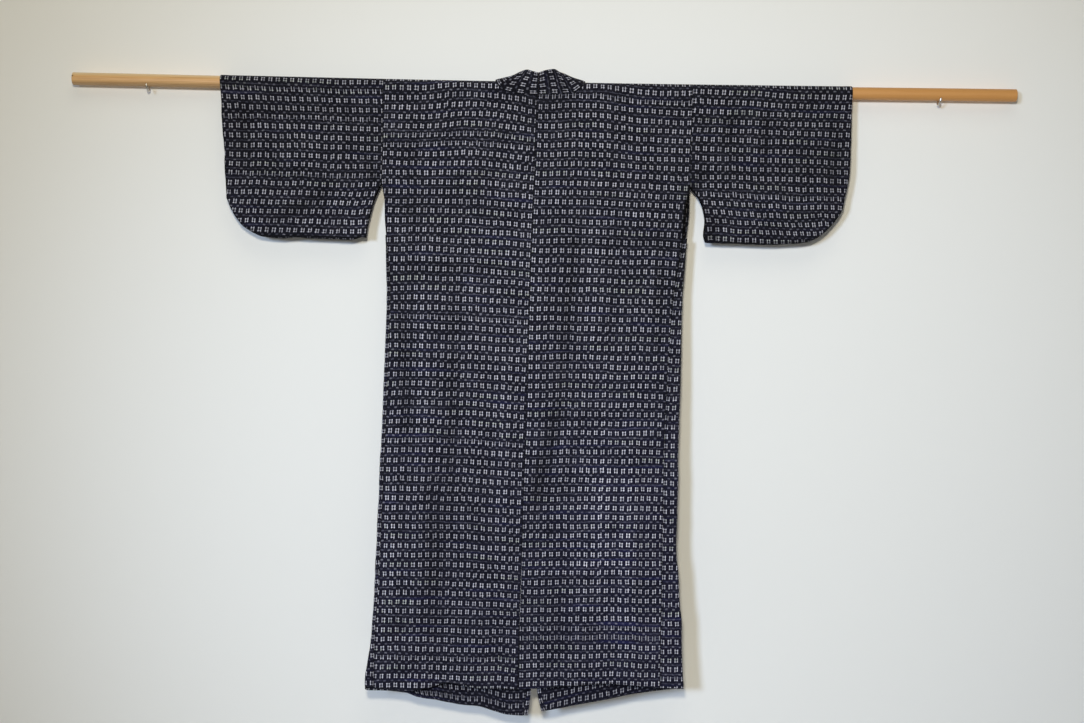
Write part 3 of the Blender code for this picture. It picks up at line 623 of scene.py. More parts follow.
def counted(grain, x, drop):
    """How many of the pattern's columns or rows lie up to a point."""
    down = grain.down * drop + grain.stretch * drop * drop
    return grain.start + grain.across * x + down + grain.bow * x * x + grain.slant * x * drop


def cells_at(panel, x, column_drop, row_drop=0.0, past=0.0, swerve_drop=0.0):
    """Places in the pattern, past by so many rows, with the swerves of the panel's columns and rows."""
    u = counted(COLUMNS_OF[panel], x, column_drop) + spread(COLUMN_DRIFTS[panel], x, swerve_drop)
    v = counted(ROWS_OF[panel], x, row_drop) - past + spread(ROW_DRIFTS[panel], x, swerve_drop)
    return np.stack(np.broadcast_arrays(u, v), -1)


def body_depth(x, drop, facing):
    """Depth of the back (facing -1) or front (facing 1) layer's middle surface."""
    column = "back" if facing < 0 else "front"
    from_left = x - section(column + "_left", drop)
    from_right = section(column + "_right", drop) - x
    inside = smooth_step(np.minimum(from_left, from_right) / SIDE_BLEND)
    rise = fold_rise(BACK_FOLDS if facing < 0 else FRONT_FOLDS, x, drop)
    flat = lerp(read(LAYERS, "drop", "side", drop), read(LAYERS, "drop", "middle", drop), inside)
    return flat + rise * inside


def true_drop(nominal, x, facing):
    """Where a row really lies at one place across, as the hem isn't level."""
    return nominal * read(BACK_HEM if facing < 0 else FRONT_HEM, "x", "drop", x) / NOMINAL_HEM


def collar_past(drop):
    return lerp(COLLAR_PAST_NECK, COLLAR_PAST_FRONT, smooth_step(drop / COLLAR_SETTLED))


def body_x(side, share, drop, facing, pull):
    """A place across the body, from its middle edge (0) to its side edge (1)."""
    if facing < 0:
        return lerp(section("seam", drop) + pull, section("back_" + side, drop) - pull, share)
    column = share * BODY_COLUMNS
    inner = section("open_" + side, drop)
    outer = section("front_" + side, drop) - pull
    under = OUTWARD[side] * (COLLAR_WIDTH - collar_past(drop))
    covered = COLUMNS_UNDER_COLLAR - 1
    beyond = lerp(inner + under, outer, (column - covered) / (BODY_COLUMNS - covered))
    return np.where(column < covered, inner + under * column / covered, beyond)


def settled(nominal, facing, x_at):
    """Places across and true drops of a piece's rows, each of which depends on the other."""
    drop = nominal
    for _ in range(PASSES):
        x = x_at(drop)
        drop = true_drop(nominal, x, facing)
    return x, drop


def placed(side, shares, nominal, facing, pull):
    """Places across and drops of a grid of the body's points."""
    share = np.broadcast_to(shares, (len(nominal), len(shares)))
    level = np.broadcast_to(nominal[:, None], share.shape)
    x, drop = settled(level, facing, lambda drop: body_x(side, share, drop, facing, pull))
    return x, drop, share


def over_pole(x, angle, radius=FOLD_RADIUS):
    """Points of cloth round the pole, at an angle from straight up; 90 is the viewer's side."""
    turn = np.radians(angle)
    x, turn = np.broadcast_arrays(x, turn)
    return np.stack([x, POLE_Y - radius * np.sin(turn), radius * np.cos(turn)], -1)


def drops_to(step, hem):
    """Even drops from just below the pole to the hem."""
    count = round((hem - FIRST_DROP) / step)
    return np.linspace(FIRST_DROP, hem, count + 1)


def fold_angles():
    """Angles round the pole, and the pattern's rows that have gone by up to each of them."""
    angles = np.arange(90.0, -90.0 - FOLD_TURN / 2, -FOLD_TURN)
    return angles, (90.0 - angles)[:, None] * np.pi / 180.0 * FOLD_RADIUS / ROW_PITCH


def dense_edges(inner):
    """Shares across a panel, closer together beside its two seams."""
    near = np.array(SEAM_SHARES)
    return np.concatenate([near, np.linspace(*INNER_SHARES, inner), 1.0 - near[::-1]])


def rounded(from_edge, radius, least):
    """The share of its thickness that cloth keeps close to a rounded edge."""
    return np.sqrt(np.clip(1.0 - (1.0 - np.clip(from_edge / radius, 0.0, 1.0)) ** 2, least, 1.0))


def shown_half(from_edge):
    """Half the cloth's thickness at a distance from a turned-up hem."""
    turned = 1.0 - smooth_step((from_edge - HEM_DEPTH) / HEM_STEP)
    return lerp(CLOTH_HALF, HEM_HALF, turned) * rounded(from_edge, CLOTH_ROUND, CLOTH_LEAST)


def make_sheet(node, middle, half, cells, material, shade_and_wear, hidden=None):
    """A thin closed shell round a grid of points, with its place in the pattern as its UV map.

    Its hidden layer, 0 or 1, is the one inside the coat, which is painted darker, as painted shade.
    """
    name = "cloth_" + node
    middle = middle.copy()
    middle[..., 2] -= sag(middle[..., 0])
    cells = cells + np.array([0.0, BOLT_ROWS[node]])
    rows, columns = middle.shape[:2]
    normal = np.cross(np.gradient(middle, axis=1), np.gradient(middle, axis=0))
    normal /= np.linalg.norm(normal, axis=2, keepdims=True)
    reach = normal * np.broadcast_to(half, (rows, columns))[..., None]
    count = rows * columns
    points = np.concatenate([(middle + reach).reshape(-1, 3), (middle - reach).reshape(-1, 3)])
    index = np.arange(count).reshape(rows, columns)
    quad = [index[:-1, :-1], index[:-1, 1:], index[1:, 1:], index[1:, :-1]]
    outer = np.stack(quad, -1).reshape(-1, 4)
    inner = np.stack(quad[::-1], -1).reshape(-1, 4) + count
    border = np.concatenate([index[0, :-1], index[:-1, -1], index[-1, :0:-1], index[:0:-1, 0]])
    after = np.roll(border, -1)
    rim = np.stack([after, border, border + count, after + count], -1)
    faces = np.concatenate([outer, inner, rim])
    mesh = bpy.data.meshes.new(name)
    mesh.from_pydata(points.tolist(), [], faces.tolist())
    layer = mesh.uv_layers.new(name=UV_NAME)
    flat = np.tile(cells.reshape(-1, 2), (2, 1))
    layer.uv.foreach_set("vector", flat[faces.reshape(-1)].reshape(-1))
    # Painted shade and painted light of each point, with broad fading; the layer inside the coat gets more painted
    # shade
    layers = np.stack([np.broadcast_to(shade_and_wear, (rows, columns))] * 2)
    if hidden is not None:
        layers[hidden] += INSIDE_SHADE
    uneven_tone = mesh.attributes.new(SHADE_AND_WEAR_NAME, "FLOAT", "POINT")
    uneven_tone.data.foreach_set("value", layers.reshape(-1))
    mesh.shade_smooth()
    mesh.materials.append(material)
    return show(name, mesh)


def show(name, data):
    """A new object in the scene."""
    item = bpy.data.objects.new(name, data)
    bpy.context.scene.collection.objects.link(item)
    return item


def from_pole(drop):
    """0 at the pole, where the cloth lies tight, and 1 a little below it."""
    return smooth_step((drop - CREASE_TOP) / (CREASE_FULL - CREASE_TOP))


def joined(*parts):
    """Points, cells, half thicknesses and shades of the parts of a sheet, one below the other."""
    return [np.concatenate(pieces) for pieces in zip(*parts)]


def body_sheet(side, material):
    """One half of the body: its back from the hem up, over the pole, and its front down to the hem."""
    outward = OUTWARD[side]
    pull = outward * SHOWN_GAP / 2
    panel = "back_" + side
    shares = dense_edges(BODY_SHARES)

    def back_part():
        x, drop, _ = placed(side, shares, drops_to(BACK_STEP, NOMINAL_HEM)[::-1], -1.0, pull)
        cell = cells_at(panel, x, drop, drop, 0.0, drop)
        from_seam = np.abs(x - body_x(side, 0.0, drop, -1.0, pull))
        from_side = np.abs(x - body_x(side, 1.0, drop, -1.0, pull))
        crease = crease_rise(BACK_CREASES, x, drop)
        from_hem = true_drop(NOMINAL_HEM, x, -1.0) - drop
        # Painted shade in crease troughs, seams and at the hem, painted light on crease ridges, and broad tones of
        # fading and painted light and shade
        shade_and_wear = crease / CREASE_SHADE_RISE + seam_shade(from_seam, from_side) + edge_shade(from_hem)
        shade_and_wear = shade_and_wear + spread(BACK_TONES, x, drop)
        # Painted shadow: the back's right edge below the armhole is painted dark, where the front and gore beside it
        # lie in shade
        if side == "right":
            rolled = (drop > SIDE_SHADE_TOP) * smooth_step(1.0 - from_side / ROLLED_WIDTH)
            shade_and_wear = shade_and_wear + ROLLED_SHADE * side_shade(drop) * rolled
        seams = [(from_seam, drop), (from_side, drop + SIDE_PUCKERS)]
        rise = cloth_rise(crease, cell, from_pole(drop), seams)
        return np.stack([x, POLE_Y - body_depth(x, drop, -1.0) - rise, -drop], -1), cell, shown_half(from_hem), shade_and_wear

    def top_part():
        angles, gone = fold_angles()
        along = np.maximum(angles, 0.0) / 180.0 * LENGTH_OVER_POLE / NECK_DROP
        seam_x = section("seam", 0.0) + pull + outward * NECK_ACROSS[side] * np.sqrt(1.0 - along * along)
        side_x = section("back_" + side, 0.0) - pull
        x = lerp(seam_x[:, None], side_x, shares[None, :])
        half = np.full(x.shape, CLOTH_HALF)
        shade_and_wear = seam_shade(np.abs(x - side_x))
        return over_pole(x, angles[:, None]), cells_at(panel, x, 0.0, past=gone), half, shade_and_wear

    def front_part():
        x, drop, share = placed(side, shares, drops_to(FRONT_STEP, NOMINAL_HEM), 1.0, pull)
        hem = true_drop(NOMINAL_HEM, x, 1.0)
        past = LENGTH_OVER_POLE / ROW_PITCH + drop / ROW_PITCH * NOMINAL_HEM / hem
        cell = cells_at(panel, x, 0.0, 0.0, past, -drop)
        from_side = np.abs(x - body_x(side, 1.0, drop, 1.0, pull))
        from_collar = smooth_step((share - COLLAR_COVERS) / COLLAR_FREES)
        crease = crease_rise(FRONT_CREASES, x, drop)
        # Painted shadow on the side strip the back hides from the light and just below the back's hem; painted shade
        # in crease troughs and at the side seam, painted light on crease ridges
        beside = side_shade(drop) * (drop > SIDE_SHADE_TOP) * smooth_step(1.0 - from_side / SIDE_SHADE_WIDTH)
        below = drop - true_drop(NOMINAL_HEM, x, -1.0)
        at_hem = smooth_step(1.0 + below / HEM_SHADE_ABOVE) * smooth_step(1.0 - below / HEM_SHADE_BELOW)
        shade_and_wear = crease / CREASE_SHADE_RISE + seam_shade(from_side) + (beside + HEM_SHADE * at_hem)
        rise = cloth_rise(crease, cell, from_pole(drop), [(from_side, drop + FRONT_PUCKERS)], from_collar)
        return np.stack([x, POLE_Y + body_depth(x, drop, 1.0) + rise, -drop], -1), cell, shown_half(hem - drop), shade_and_wear

    middle, cell, half, shade_and_wear = joined(back_part(), top_part(), front_part())
    return make_sheet("body_" + side, middle, half, cell, material, shade_and_wear, hidden=int(side == "right"))


def sleeve_sheet(side, material):
    """A sleeve: from the seam under its back, up, over the pole and down its front to the same seam."""
    half_gap = OUTWARD[side] * SHOWN_GAP / 2
    panel = "sleeve_" + side
    shares = dense_edges(SLEEVE_SHARES)
    seed = WAVER_SEEDS[panel]
    turn_drop = read(SLEEVE_BOTTOMS, "share", side, shares) - SLEEVE_TURN
    turn_drop = turn_drop + waver(seed, shares * SLEEVE_SPAN) * smooth_step(shares / WAVER_STARTS)
    lift = SLEEVE_LIFTS[side]
    lifted = smooth_step(shares / lift.inner) * smooth_step((1.0 - shares) / lift.outer)
    turn_drop = turn_drop - lift.rise * lifted
    levels = np.linspace(SLEEVE_TOP_LEVEL, 1.0, round(SLEEVE_SPAN / SLEEVE_STEP))
    turns = np.radians(np.linspace(90.0, 0.0, SLEEVE_TURN_ANGLES))[-2::-1, None]

    def edges(drop):
        inner = read(SLEEVE_EDGES, "drop", side + "_in", drop) + half_gap
        return inner, read(SLEEVE_EDGES, "drop", side + "_out", drop)

    def layer(facing, creases):
        drop = turn_drop[None, :] * levels[:, None]
        close = smooth_step((drop - turn_drop + SLEEVE_NARROWING) / SLEEVE_NARROWING)
        depth = lerp(read(LAYERS, "drop", "side", drop), SLEEVE_TURN, close)
        turned = turn_drop[None, :] + SLEEVE_TURN * np.cos(turns)
        shut = np.broadcast_to(SLEEVE_TURN * np.sin(turns), turned.shape)
        drop, depth = np.concatenate([drop, turned]), np.concatenate([depth, shut])
        share = np.broadcast_to(shares, drop.shape)
        inner, outer = edges(drop)
        x = lerp(inner, outer, share)
        x = x + waver(seed + 2, drop) * smooth_step((share - CUFF_WAVERS) / (1.0 - CUFF_WAVERS)) * from_pole(drop)
        if facing < 0:
            cell = cells_at(panel, x, drop, drop, 0.0, drop)
        else:
            cell = cells_at(panel, x, drop, 0.0, LENGTH_OVER_POLE / ROW_PITCH + drop / ROW_PITCH, -drop)
        from_foot = turn_drop + SLEEVE_TURN - drop
        low = smooth_step(from_foot / BOTTOM_TIGHT)
        crease = crease_rise(creases, x, drop) * low
        from_seam = np.abs(x - inner)
        seams = [(from_seam, drop + SLEEVE_PUCKERS * facing)]
        rise = cloth_rise(crease, cell, from_pole(drop) * low, seams)
        window = smooth_step(share / SLEEVE_FOLDS_START) * smooth_step((turn_drop - drop) / SLEEVE_FOLDS_END)
        y = POLE_Y + facing * (depth + fold_rise(SLEEVE_FOLDS, share, drop) * window + rise)
        from_cuff = np.abs(outer - x)
        free = np.where(drop > SIDE_SHADE_TOP, from_seam, 1.0)
        # Painted shade in crease troughs, at the seam, cuff, free edge and foot, painted light on crease ridges, and
        # on the back layer broad tones
        shade_and_wear = crease / CREASE_SHADE_RISE + seam_shade(from_seam) + edge_shade(from_cuff, free, from_foot)
        shade_and_wear = shade_and_wear + spread(SLEEVE_TONES, x, drop) * (facing < 0)
        return np.stack([x, y, -drop], -1), cell, shown_half(from_cuff), shade_and_wear

    def top_part():
        angles, gone = fold_angles()
        x = lerp(*edges(0.0), shares)
        cell = cells_at(panel, x, 0.0, past=gone)
        half = np.broadcast_to(shown_half(np.abs(x - x[-1])), cell.shape[:2])
        return over_pole(x[None, :], angles[:, None]), cell, half, np.zeros(half.shape)

    back = [part[::-1] for part in layer(-1.0, SLEEVE_BACK_CREASES)]
    middle, cell, half, shade_and_wear = joined(back, top_part(), layer(1.0, SLEEVE_FRONT_CREASES))
    return make_sheet(panel, middle, half, cell, material, shade_and_wear + SLEEVE_TONE, hidden=int(side == "right"))


def gore_sheet(side, material):
    """A gore: from the back's side edge, round its outer fold, to the front's side edge."""
    outward = OUTWARD[side]
    pull = outward * SHOWN_GAP / 2
    nominal = np.linspace(GORE_TOP, NOMINAL_HEM, round((NOMINAL_HEM - GORE_TOP) / GORE_STEP))

    def edge(column, facing, puckers):
        x, drop = settled(nominal, facing, lambda drop: section(column, drop) + pull)
        y = POLE_Y + facing * (body_depth(x - pull * 2.0, drop, facing) + seam_rise(0.0, drop + puckers))
        return np.stack([x, y, -drop], -1)

    back = edge("back_" + side, -1.0, SIDE_PUCKERS)
    front = edge("front_" + side, 1.0, FRONT_PUCKERS)
    fold_x = section("fold_" + side, -(back[:, 2] + front[:, 2]) / 2)
    fold_x = fold_x + waver(WAVER_SEEDS["gore_" + side], nominal)
    least = np.maximum(outward * back[:, 0], outward * front[:, 0]) + GORE_STRAIGHT + GORE_RUN
    turn_x = outward * np.maximum(outward * fold_x - GORE_TURN, least)
    opens = lerp(GORE_TIP, 1.0, smooth_step((nominal - GORE_TOP) / GORE_TIP_LENGTH))
    shut = outward * (least - GORE_STRAIGHT - GORE_RUN + GORE_TIP_PAST)
    turn_x = lerp(shut, turn_x, opens)

    def flat_line(start, share, sink):
        x = lerp(start[:, 0], turn_x, share)
        return np.stack([x, start[:, 1] + sink * smooth_step(share * GORE_SINKS), start[:, 2]], -1)

    middle, half = (back + front) / 2, (front - back) / 2
    bulge = 1.0 + SEAM_SINK / np.abs(half[:, 1])

    def round_line(turn):
        return np.stack([
            turn_x + outward * GORE_TURN * opens * math.sin(turn),
            middle[:, 1] - half[:, 1] * math.cos(turn) * bulge,
            middle[:, 2] - half[:, 2] * math.cos(turn),
        ], -1)

    flat = np.linspace(0.0, 1.0, GORE_SHARES)
    lines = [flat_line(back, share, -SEAM_SINK) for share in flat]
    lines += [round_line(math.pi * step / GORE_ARC_STEPS) for step in range(1, GORE_ARC_STEPS)]
    lines += [flat_line(front, share, SEAM_SINK) for share in flat[::-1]]
    grid = np.stack(lines, 1)
    steps = np.linalg.norm(np.diff(grid[..., :2], axis=1), axis=2)
    across = np.concatenate([np.zeros((len(grid), 1)), np.cumsum(steps, axis=1)], 1)
    beyond = across[:, -1:] - across
    drop = -grid[..., 2]
    cell = np.stack([GORE_COLUMN_START + across / COLUMN_PITCH, counted(GORE_ROWS, 0.0 * drop, drop)], -1)
    inside = smooth_step(across / GORE_CRINKLE_RUN) * smooth_step(beyond / GORE_CRINKLE_RUN)
    push = np.gradient(grid, axis=1)
    normal = np.stack([-push[..., 1], push[..., 0], 0.0 * drop], -1) * -outward
    normal /= np.linalg.norm(normal, axis=2, keepdims=True)
    grid = grid + normal * (crinkle(cell + GORE_CRINKLE_AT) * GORE_CRINKLE * inside)[..., None]
    thick = shown_half((nominal[-1] - nominal)[:, None] + 0.0 * drop)
    thick = thick * lerp(GORE_TOP_THINS, 1.0, smooth_step((nominal - GORE_TOP) / GORE_TOP_ROUND))[:, None]
    shade_and_wear = seam_shade(across, beyond) + side_shade(nominal)[:, None]
    return make_sheet("gore_" + side, grid, thick, cell, material, shade_and_wear, hidden=int(side == "left"))


def collar_sheet(side, material):
    """One half of the folded collar band, from the centre back over the pole and down the front edge."""
    outward = OUTWARD[side]
    seam_x = COLLAR_SEAM_X + outward * SHOWN_GAP / 2
    steps = np.linspace(0.0, 1.0, NECK_STEPS + 1)
    neck = {column: read(NECK_ROWS[side], "along", column, steps) for column in NeckRow._fields}
    shares = np.linspace(0.0, 1.0, COLLAR_SHARES + 1)
    free = over_pole(seam_x + outward * neck["free_across"], neck["free_angle"], FOLD_RADIUS + COLLAR_LIFT)
    free[:, 2] -= neck["free_drop"]
    fold_x = seam_x + outward * neck["fold_across"]
    fold = np.stack([fold_x, POLE_Y - neck["fold_depth"], neck["fold_height"]], -1)
    top = lerp(free[:, None, :], fold[:, None, :], shares[None, :, None])
    top[..., 1] = lerp(free[:, None, 1], fold[:, None, 1], shares[None, :] ** 2)

    nominal = drops_to(COLLAR_STEP, NOMINAL_HEM)
    level = np.broadcast_to(nominal[:, None], (len(nominal), len(shares)))

    def across(drop):
        free_x = section("open_" + side, drop) + outward * (COLLAR_WIDTH - collar_past(drop))
        return free_x - outward * COLLAR_WIDTH * shares

    x, drop = settled(level, 1.0, across)
    depth = body_depth(x, drop, 1.0) + COLLAR_LIFT
    grid = np.concatenate([top, np.stack([x, POLE_Y + depth, -drop], -1)])

    steps = np.linalg.norm(np.diff(grid[:, len(shares) // 2], axis=0), axis=1)
    along = np.concatenate([[0.0], np.cumsum(steps)])
    v = COLLAR_ROW_START + along / COLLAR_ROW_PITCH
    u = COLLAR_COLUMN_START + shares * COLLAR_WIDTH / COLUMN_PITCH
    cell = np.stack(np.broadcast_arrays(u[None, :], v[:, None]), -1)
    squared = 1.0 - np.abs(2.0 * shares - 1.0) ** COLLAR_SQUARENESS
    profile = np.sqrt(np.clip(squared, COLLAR_EDGE_LEAST, 1.0))
    ends = rounded(along[-1] - along, COLLAR_ROUND, COLLAR_LEAST)
    pad = 1.0 + rippled(COLLAR_PADDING, cell[..., 0], cell[..., 1])
    half = COLLAR_HALF * profile[None, :] * ends[:, None] * pad
    return make_sheet("collar_" + side, grid, half, cell, material, COLLAR_TONE)


class Graph:
    """A material's node tree, with short ways to add and join its nodes."""

    def __init__(self, name):
        self.material = bpy.data.materials.new(name)
        self.material.use_nodes = True
        self.tree = self.material.node_tree
        self.shader = self.tree.nodes["Principled BSDF"]

    def join(self, value, socket):
        if hasattr(value, "is_output"):
            self.tree.links.new(value, socket)
        else:
            socket.default_value = value

    def node(self, kind, inputs=(), output=0, **settings):
        made = self.tree.nodes.new(kind)
        for key, value in settings.items():
            setattr(made, key, value)
        for key, value in dict(inputs).items():
            self.join(value, made.inputs[key])
        return made.outputs[output]

    def math(self, operation, *values):
        return self.node("ShaderNodeMath", dict(enumerate(values)), operation=operation)

    def times(self, first, *others):
        for other in others:
            first = self.math("MULTIPLY", first, other)
        return first

    def plus(self, first, *others):
        for other in others:
            first = self.math("ADD", first, other)
        return first

    def scaled(self, value, factor, offset):
        return self.math("MULTIPLY_ADD", value, factor, offset)

    def swing(self, value, width):
        """0 to 1 moved to as much below zero as above."""
        return self.scaled(value, width, -width / 2.0)

    def size(self, value):
        return self.math("ABSOLUTE", value)

    def from_whole(self, value):
        """How far a value is from the nearest whole number."""
        return self.math("SUBTRACT", value, self.math("ROUND", value))

    def soft(self, value, start, end):
        """0 to 1 as a value goes from start to end."""
        inputs = {"Value": value, "From Min": start, "From Max": end, "To Min": 0.0, "To Max": 1.0}
        return self.node("ShaderNodeMapRange", inputs, interpolation_type="SMOOTHSTEP")

    def vector(self, x, y, z=0.0):
        return self.node("ShaderNodeCombineXYZ", {0: x, 1: y, 2: z})

    def split(self, vector):
        made = self.tree.nodes.new("ShaderNodeSeparateXYZ")
        self.join(vector, made.inputs[0])
        return made.outputs

    def noise(self, vector, scale, detail=2.0):
        return self.node("ShaderNodeTexNoise", {"Vector": vector, "Scale": scale, "Detail": detail})

    def patches(self, *spans, detail=1.0):
        """Smooth noise over two or three values, each by itself or with how many patches lie in a unit of it."""
        parts = [self.times(*span) if isinstance(span, tuple) else span for span in spans]
        return self.noise(self.vector(*parts), 1.0, detail)

    def speck(self, x, y):
        """A random value from 0 to 1 for each pair of whole numbers."""
        return self.node("ShaderNodeTexWhiteNoise", {"Vector": self.vector(x, y)}, noise_dimensions="2D")

    def mix(self, share, first, second, blend="MIX"):
        made = self.tree.nodes.new("ShaderNodeMix")
        made.data_type = "RGBA"
        made.blend_type = blend
        for key, value in ((0, share), (6, first), (7, second)):
            self.join(value, made.inputs[key])
        return made.outputs[2]

    def bump(self, height, distance, strength=1.0, normal=None):
        inputs = {"Height": height, "Distance": distance, "Strength": strength}
        if normal is not None:
            inputs["Normal"] = normal
        return self.node("ShaderNodeBump", inputs)

    def finish(self, **sockets):
        for name, value in sockets.items():
            self.join(value, self.shader.inputs[name.replace("_", " ")])
        return self.material


GROUND = (0.0041, 0.0041, 0.0096, 1.0)
GROUND_WORN = (0.0120, 0.0120, 0.0215, 1.0)
NAVY = (0.0075, 0.0080, 0.0300, 1.0)
PALE = (0.72, 0.71, 0.805, 1.0)
PALE_GREEN = (0.66, 0.69, 0.67, 1.0)
HALF_DYED = (0.72, 0.72, 1.00, 1.0)
# The well-curb's two upright and two level strokes, in cells: how far from its middle they lie, where their sides
# go from bare to full, and where their ends do
Stroke = namedtuple("Stroke", "place sides ends")
UPRIGHT = Stroke(0.180, (0.070, 0.032), (0.292, 0.208))
LEVEL = Stroke(0.148, (0.062, 0.026), (0.300, 0.220))
# A plain weave of about 20 threads to the centimetre
WARP_THREADS = math.tau * 26.0
WEFT_THREADS = math.tau * 36.0
THREAD_HEIGHT = 0.00012
PUFF_HEIGHT = 0.0004


def kasuri():
    """Indigo cotton with a small well-curb of pale threads in every cell of its pattern."""
    g = Graph("indigo_kasuri")
    uv = g.node("ShaderNodeUVMap", uv_map=UV_NAME)
    u, v, _ = g.split(uv)
    stray = g.patches((u, 0.16), (v, 0.55))
    lean = g.patches((u, 0.60), (v, 0.07), 70.0)
    v = g.plus(v, g.swing(stray, 0.30))
    u = g.plus(u, g.swing(lean, 0.22))
    # Each pale stroke is a group of dyed threads, which slips along its own line
    warp = g.math("FLOOR", g.times(u, 2.0))
    weft = g.math("FLOOR", g.times(v, 2.0))
    column, row = g.math("ROUND", u), g.math("ROUND", v)
    own = g.swing(g.speck(warp, 3.0), 0.10)
    each = g.swing(g.speck(warp, row), 0.06)
    slid_v = g.plus(v, g.plus(own, each, g.swing(g.patches((warp, 3.7), (v, 0.16)), 0.26)))
    each = g.swing(g.speck(g.plus(column, 0.5), weft), 0.10)
    slip = g.plus(each, g.swing(g.patches((u, 0.13), (weft, 4.3)), 0.50))
    astray = g.math("GREATER_THAN", g.speck(weft, 9.0), 0.95)
    slid_u = g.plus(u, g.scaled(astray, 0.5, slip))
    fuzz = g.swing(g.noise(uv, 9.0, 2.0), 0.07)

    def strokes(kind, off, slid):
        line = g.soft(g.size(g.math("SUBTRACT", g.size(off), kind.place)), *kind.sides)
        return g.times(line, g.soft(g.plus(g.size(g.from_whole(slid)), fuzz), *kind.ends))

    off_row = g.math("SUBTRACT", v, row)
    upright = strokes(UPRIGHT, g.math("SUBTRACT", u, column), slid_v)
    upright = g.times(upright, g.scaled(g.speck(warp, g.plus(row, 0.37)), 0.24, 0.36))
    level = g.times(strokes(LEVEL, off_row, slid_u), g.scaled(astray, -0.55, 1.0))
    kept = g.scaled(g.speck(g.plus(column, 0.21), weft), 0.16, g.patches((u, 0.31), (weft, 5.7)))
    level = g.times(level, g.scaled(g.soft(kept, 0.38, 0.58), 0.18, 0.145))
    # Where both thread groups cross, the motif is palest
    ink = g.times(g.math("POWER", g.plus(upright, level), 1.35), 1.28)
    # Faint marks between the columns, midway between two rows
    off_u = g.from_whole(g.plus(u, 0.5))
    off_v = g.from_whole(g.plus(v, 0.5))
    sway = g.swing(g.noise(uv, 1.7, 1.0), 0.24)
    dash = g.times(g.soft(g.size(g.plus(off_v, sway)), 0.100, 0.040), g.soft(g.size(off_u), 0.24, 0.10))
    fades = g.soft(g.patches((u, 0.5), (v, 1.3)), 0.40, 0.62)
    ink = g.math("MAXIMUM", ink, g.times(dash, g.scaled(fades, 0.15, 0.06)))
    # Hair lines run on between the rows, and specks of undyed cotton lie in the ground
    seen = g.soft(g.patches((u, 0.17), (row, 3.3)), 0.46, 0.66)
    hair = g.times(g.soft(g.size(g.scaled(sway, 0.6, off_v)), 0.070, 0.020), g.times(seen, 0.070))
    flecks = g.soft(g.patches((u, 3.1), (v, 7.9), detail=2.0), 0.52, 0.74)
    ink = g.math("MAXIMUM", ink, g.plus(hair, g.times(flecks, 0.024)))
    # The ground's dye is uneven in patches; the ground is also bluer toward the hem, most on the right, and warmer
    # near the pole
    uneven_tone = g.soft(g.noise(uv, 0.35, 3.0), 0.30, 0.95)
    dye = g.soft(g.patches((u, 0.09), (v, 1.6), detail=2.0), 0.54, 0.72)
    ground = g.mix(uneven_tone, GROUND, GROUND_WORN)
    ground = g.mix(g.times(dye, g.soft(g.size(off_row), 0.22, 0.36)), ground, NAVY)
    x, _, z = g.split(g.node("ShaderNodeTexCoord", output=3))
    low = g.soft(z, -0.05, -1.05)
    cool = g.scaled(low, 0.26, g.scaled(g.times(low, g.soft(x, -0.15, 0.20)), 0.16, 0.85))
    ground = g.mix(1.0, ground, g.vector(1.0, 1.0, cool), "MULTIPLY")
    tint = g.soft(g.speck(g.math("FLOOR", g.times(u, 0.25)), weft), 0.90, 0.97)
    pale = g.mix(g.soft(ink, 0.03, 0.24), HALF_DYED, g.mix(tint, PALE, PALE_GREEN))
    colour = g.mix(ink, ground, pale)
    # Threads, slubs, broad bars and streaks, and the painted shade, painted light and broad fading stored on the
    # sheets' points
    thread = g.times(g.math("SINE", g.times(u, WARP_THREADS)), g.math("SINE", g.times(v, WEFT_THREADS)))
    slub = g.patches((u, 0.7), (v, 18.0), detail=2.0)
    bars = g.patches((u, 0.020), (v, 0.60), detail=3.0)
    streaks = g.patches((u, 0.42), (v, 0.018), detail=2.0)
    shade = g.scaled(thread, 0.10, g.scaled(slub, 0.5, 0.75))
    shade = g.times(shade, g.scaled(bars, 0.56, 0.72), g.scaled(streaks, 0.50, 0.75))
    shade_and_wear = g.node("ShaderNodeAttribute", output=2, attribute_name=SHADE_AND_WEAR_NAME)
    shade = g.times(shade, g.math("MAXIMUM", g.scaled(shade_and_wear, 0.30, 1.0), 0.12))
    colour = g.mix(1.0, colour, g.vector(shade, shade, shade), "MULTIPLY")
    fine = g.bump(g.scaled(thread, 0.35, g.times(slub, 0.9)), THREAD_HEIGHT)
    normal = g.bump(g.patches((u, 1.6), (v, 3.4), detail=3.0), PUFF_HEIGHT, 0.6, fine)
    g.finish(Sheen_Weight=0.03, Sheen_Roughness=0.6, Specular_IOR_Level=0.10)
    return g.finish(Base_Color=colour, Roughness=g.scaled(slub, 0.12, 0.84), Normal=normal)


WOOD_EARLY = (0.71, 0.425, 0.180, 1.0)
WOOD_LATE = (0.59, 0.330, 0.125, 1.0)
WOOD_FIBRE = (0.43, 0.21, 0.064, 1.0)
WOOD_CLOUD = (0.69, 0.42, 0.165, 1.0)
# Painted shade for the pole's underside and a painted highlight for its top
WOOD_UNDER_SHADE = (0.42, 0.48, 0.66, 1.0)
WOOD_TOP_HIGHLIGHT = (0.84, 0.67, 0.41, 1.0)
WOOD_ORANGE = (0.54, 0.245, 0.062, 1.0)
WOOD_END = (0.25, 0.13, 0.06, 1.0)
WOOD_SLIT = (0.03, 0.015, 0.008, 1.0)
RING_PITCH = 0.0021
POLE_END = POLE_LENGTH / 2


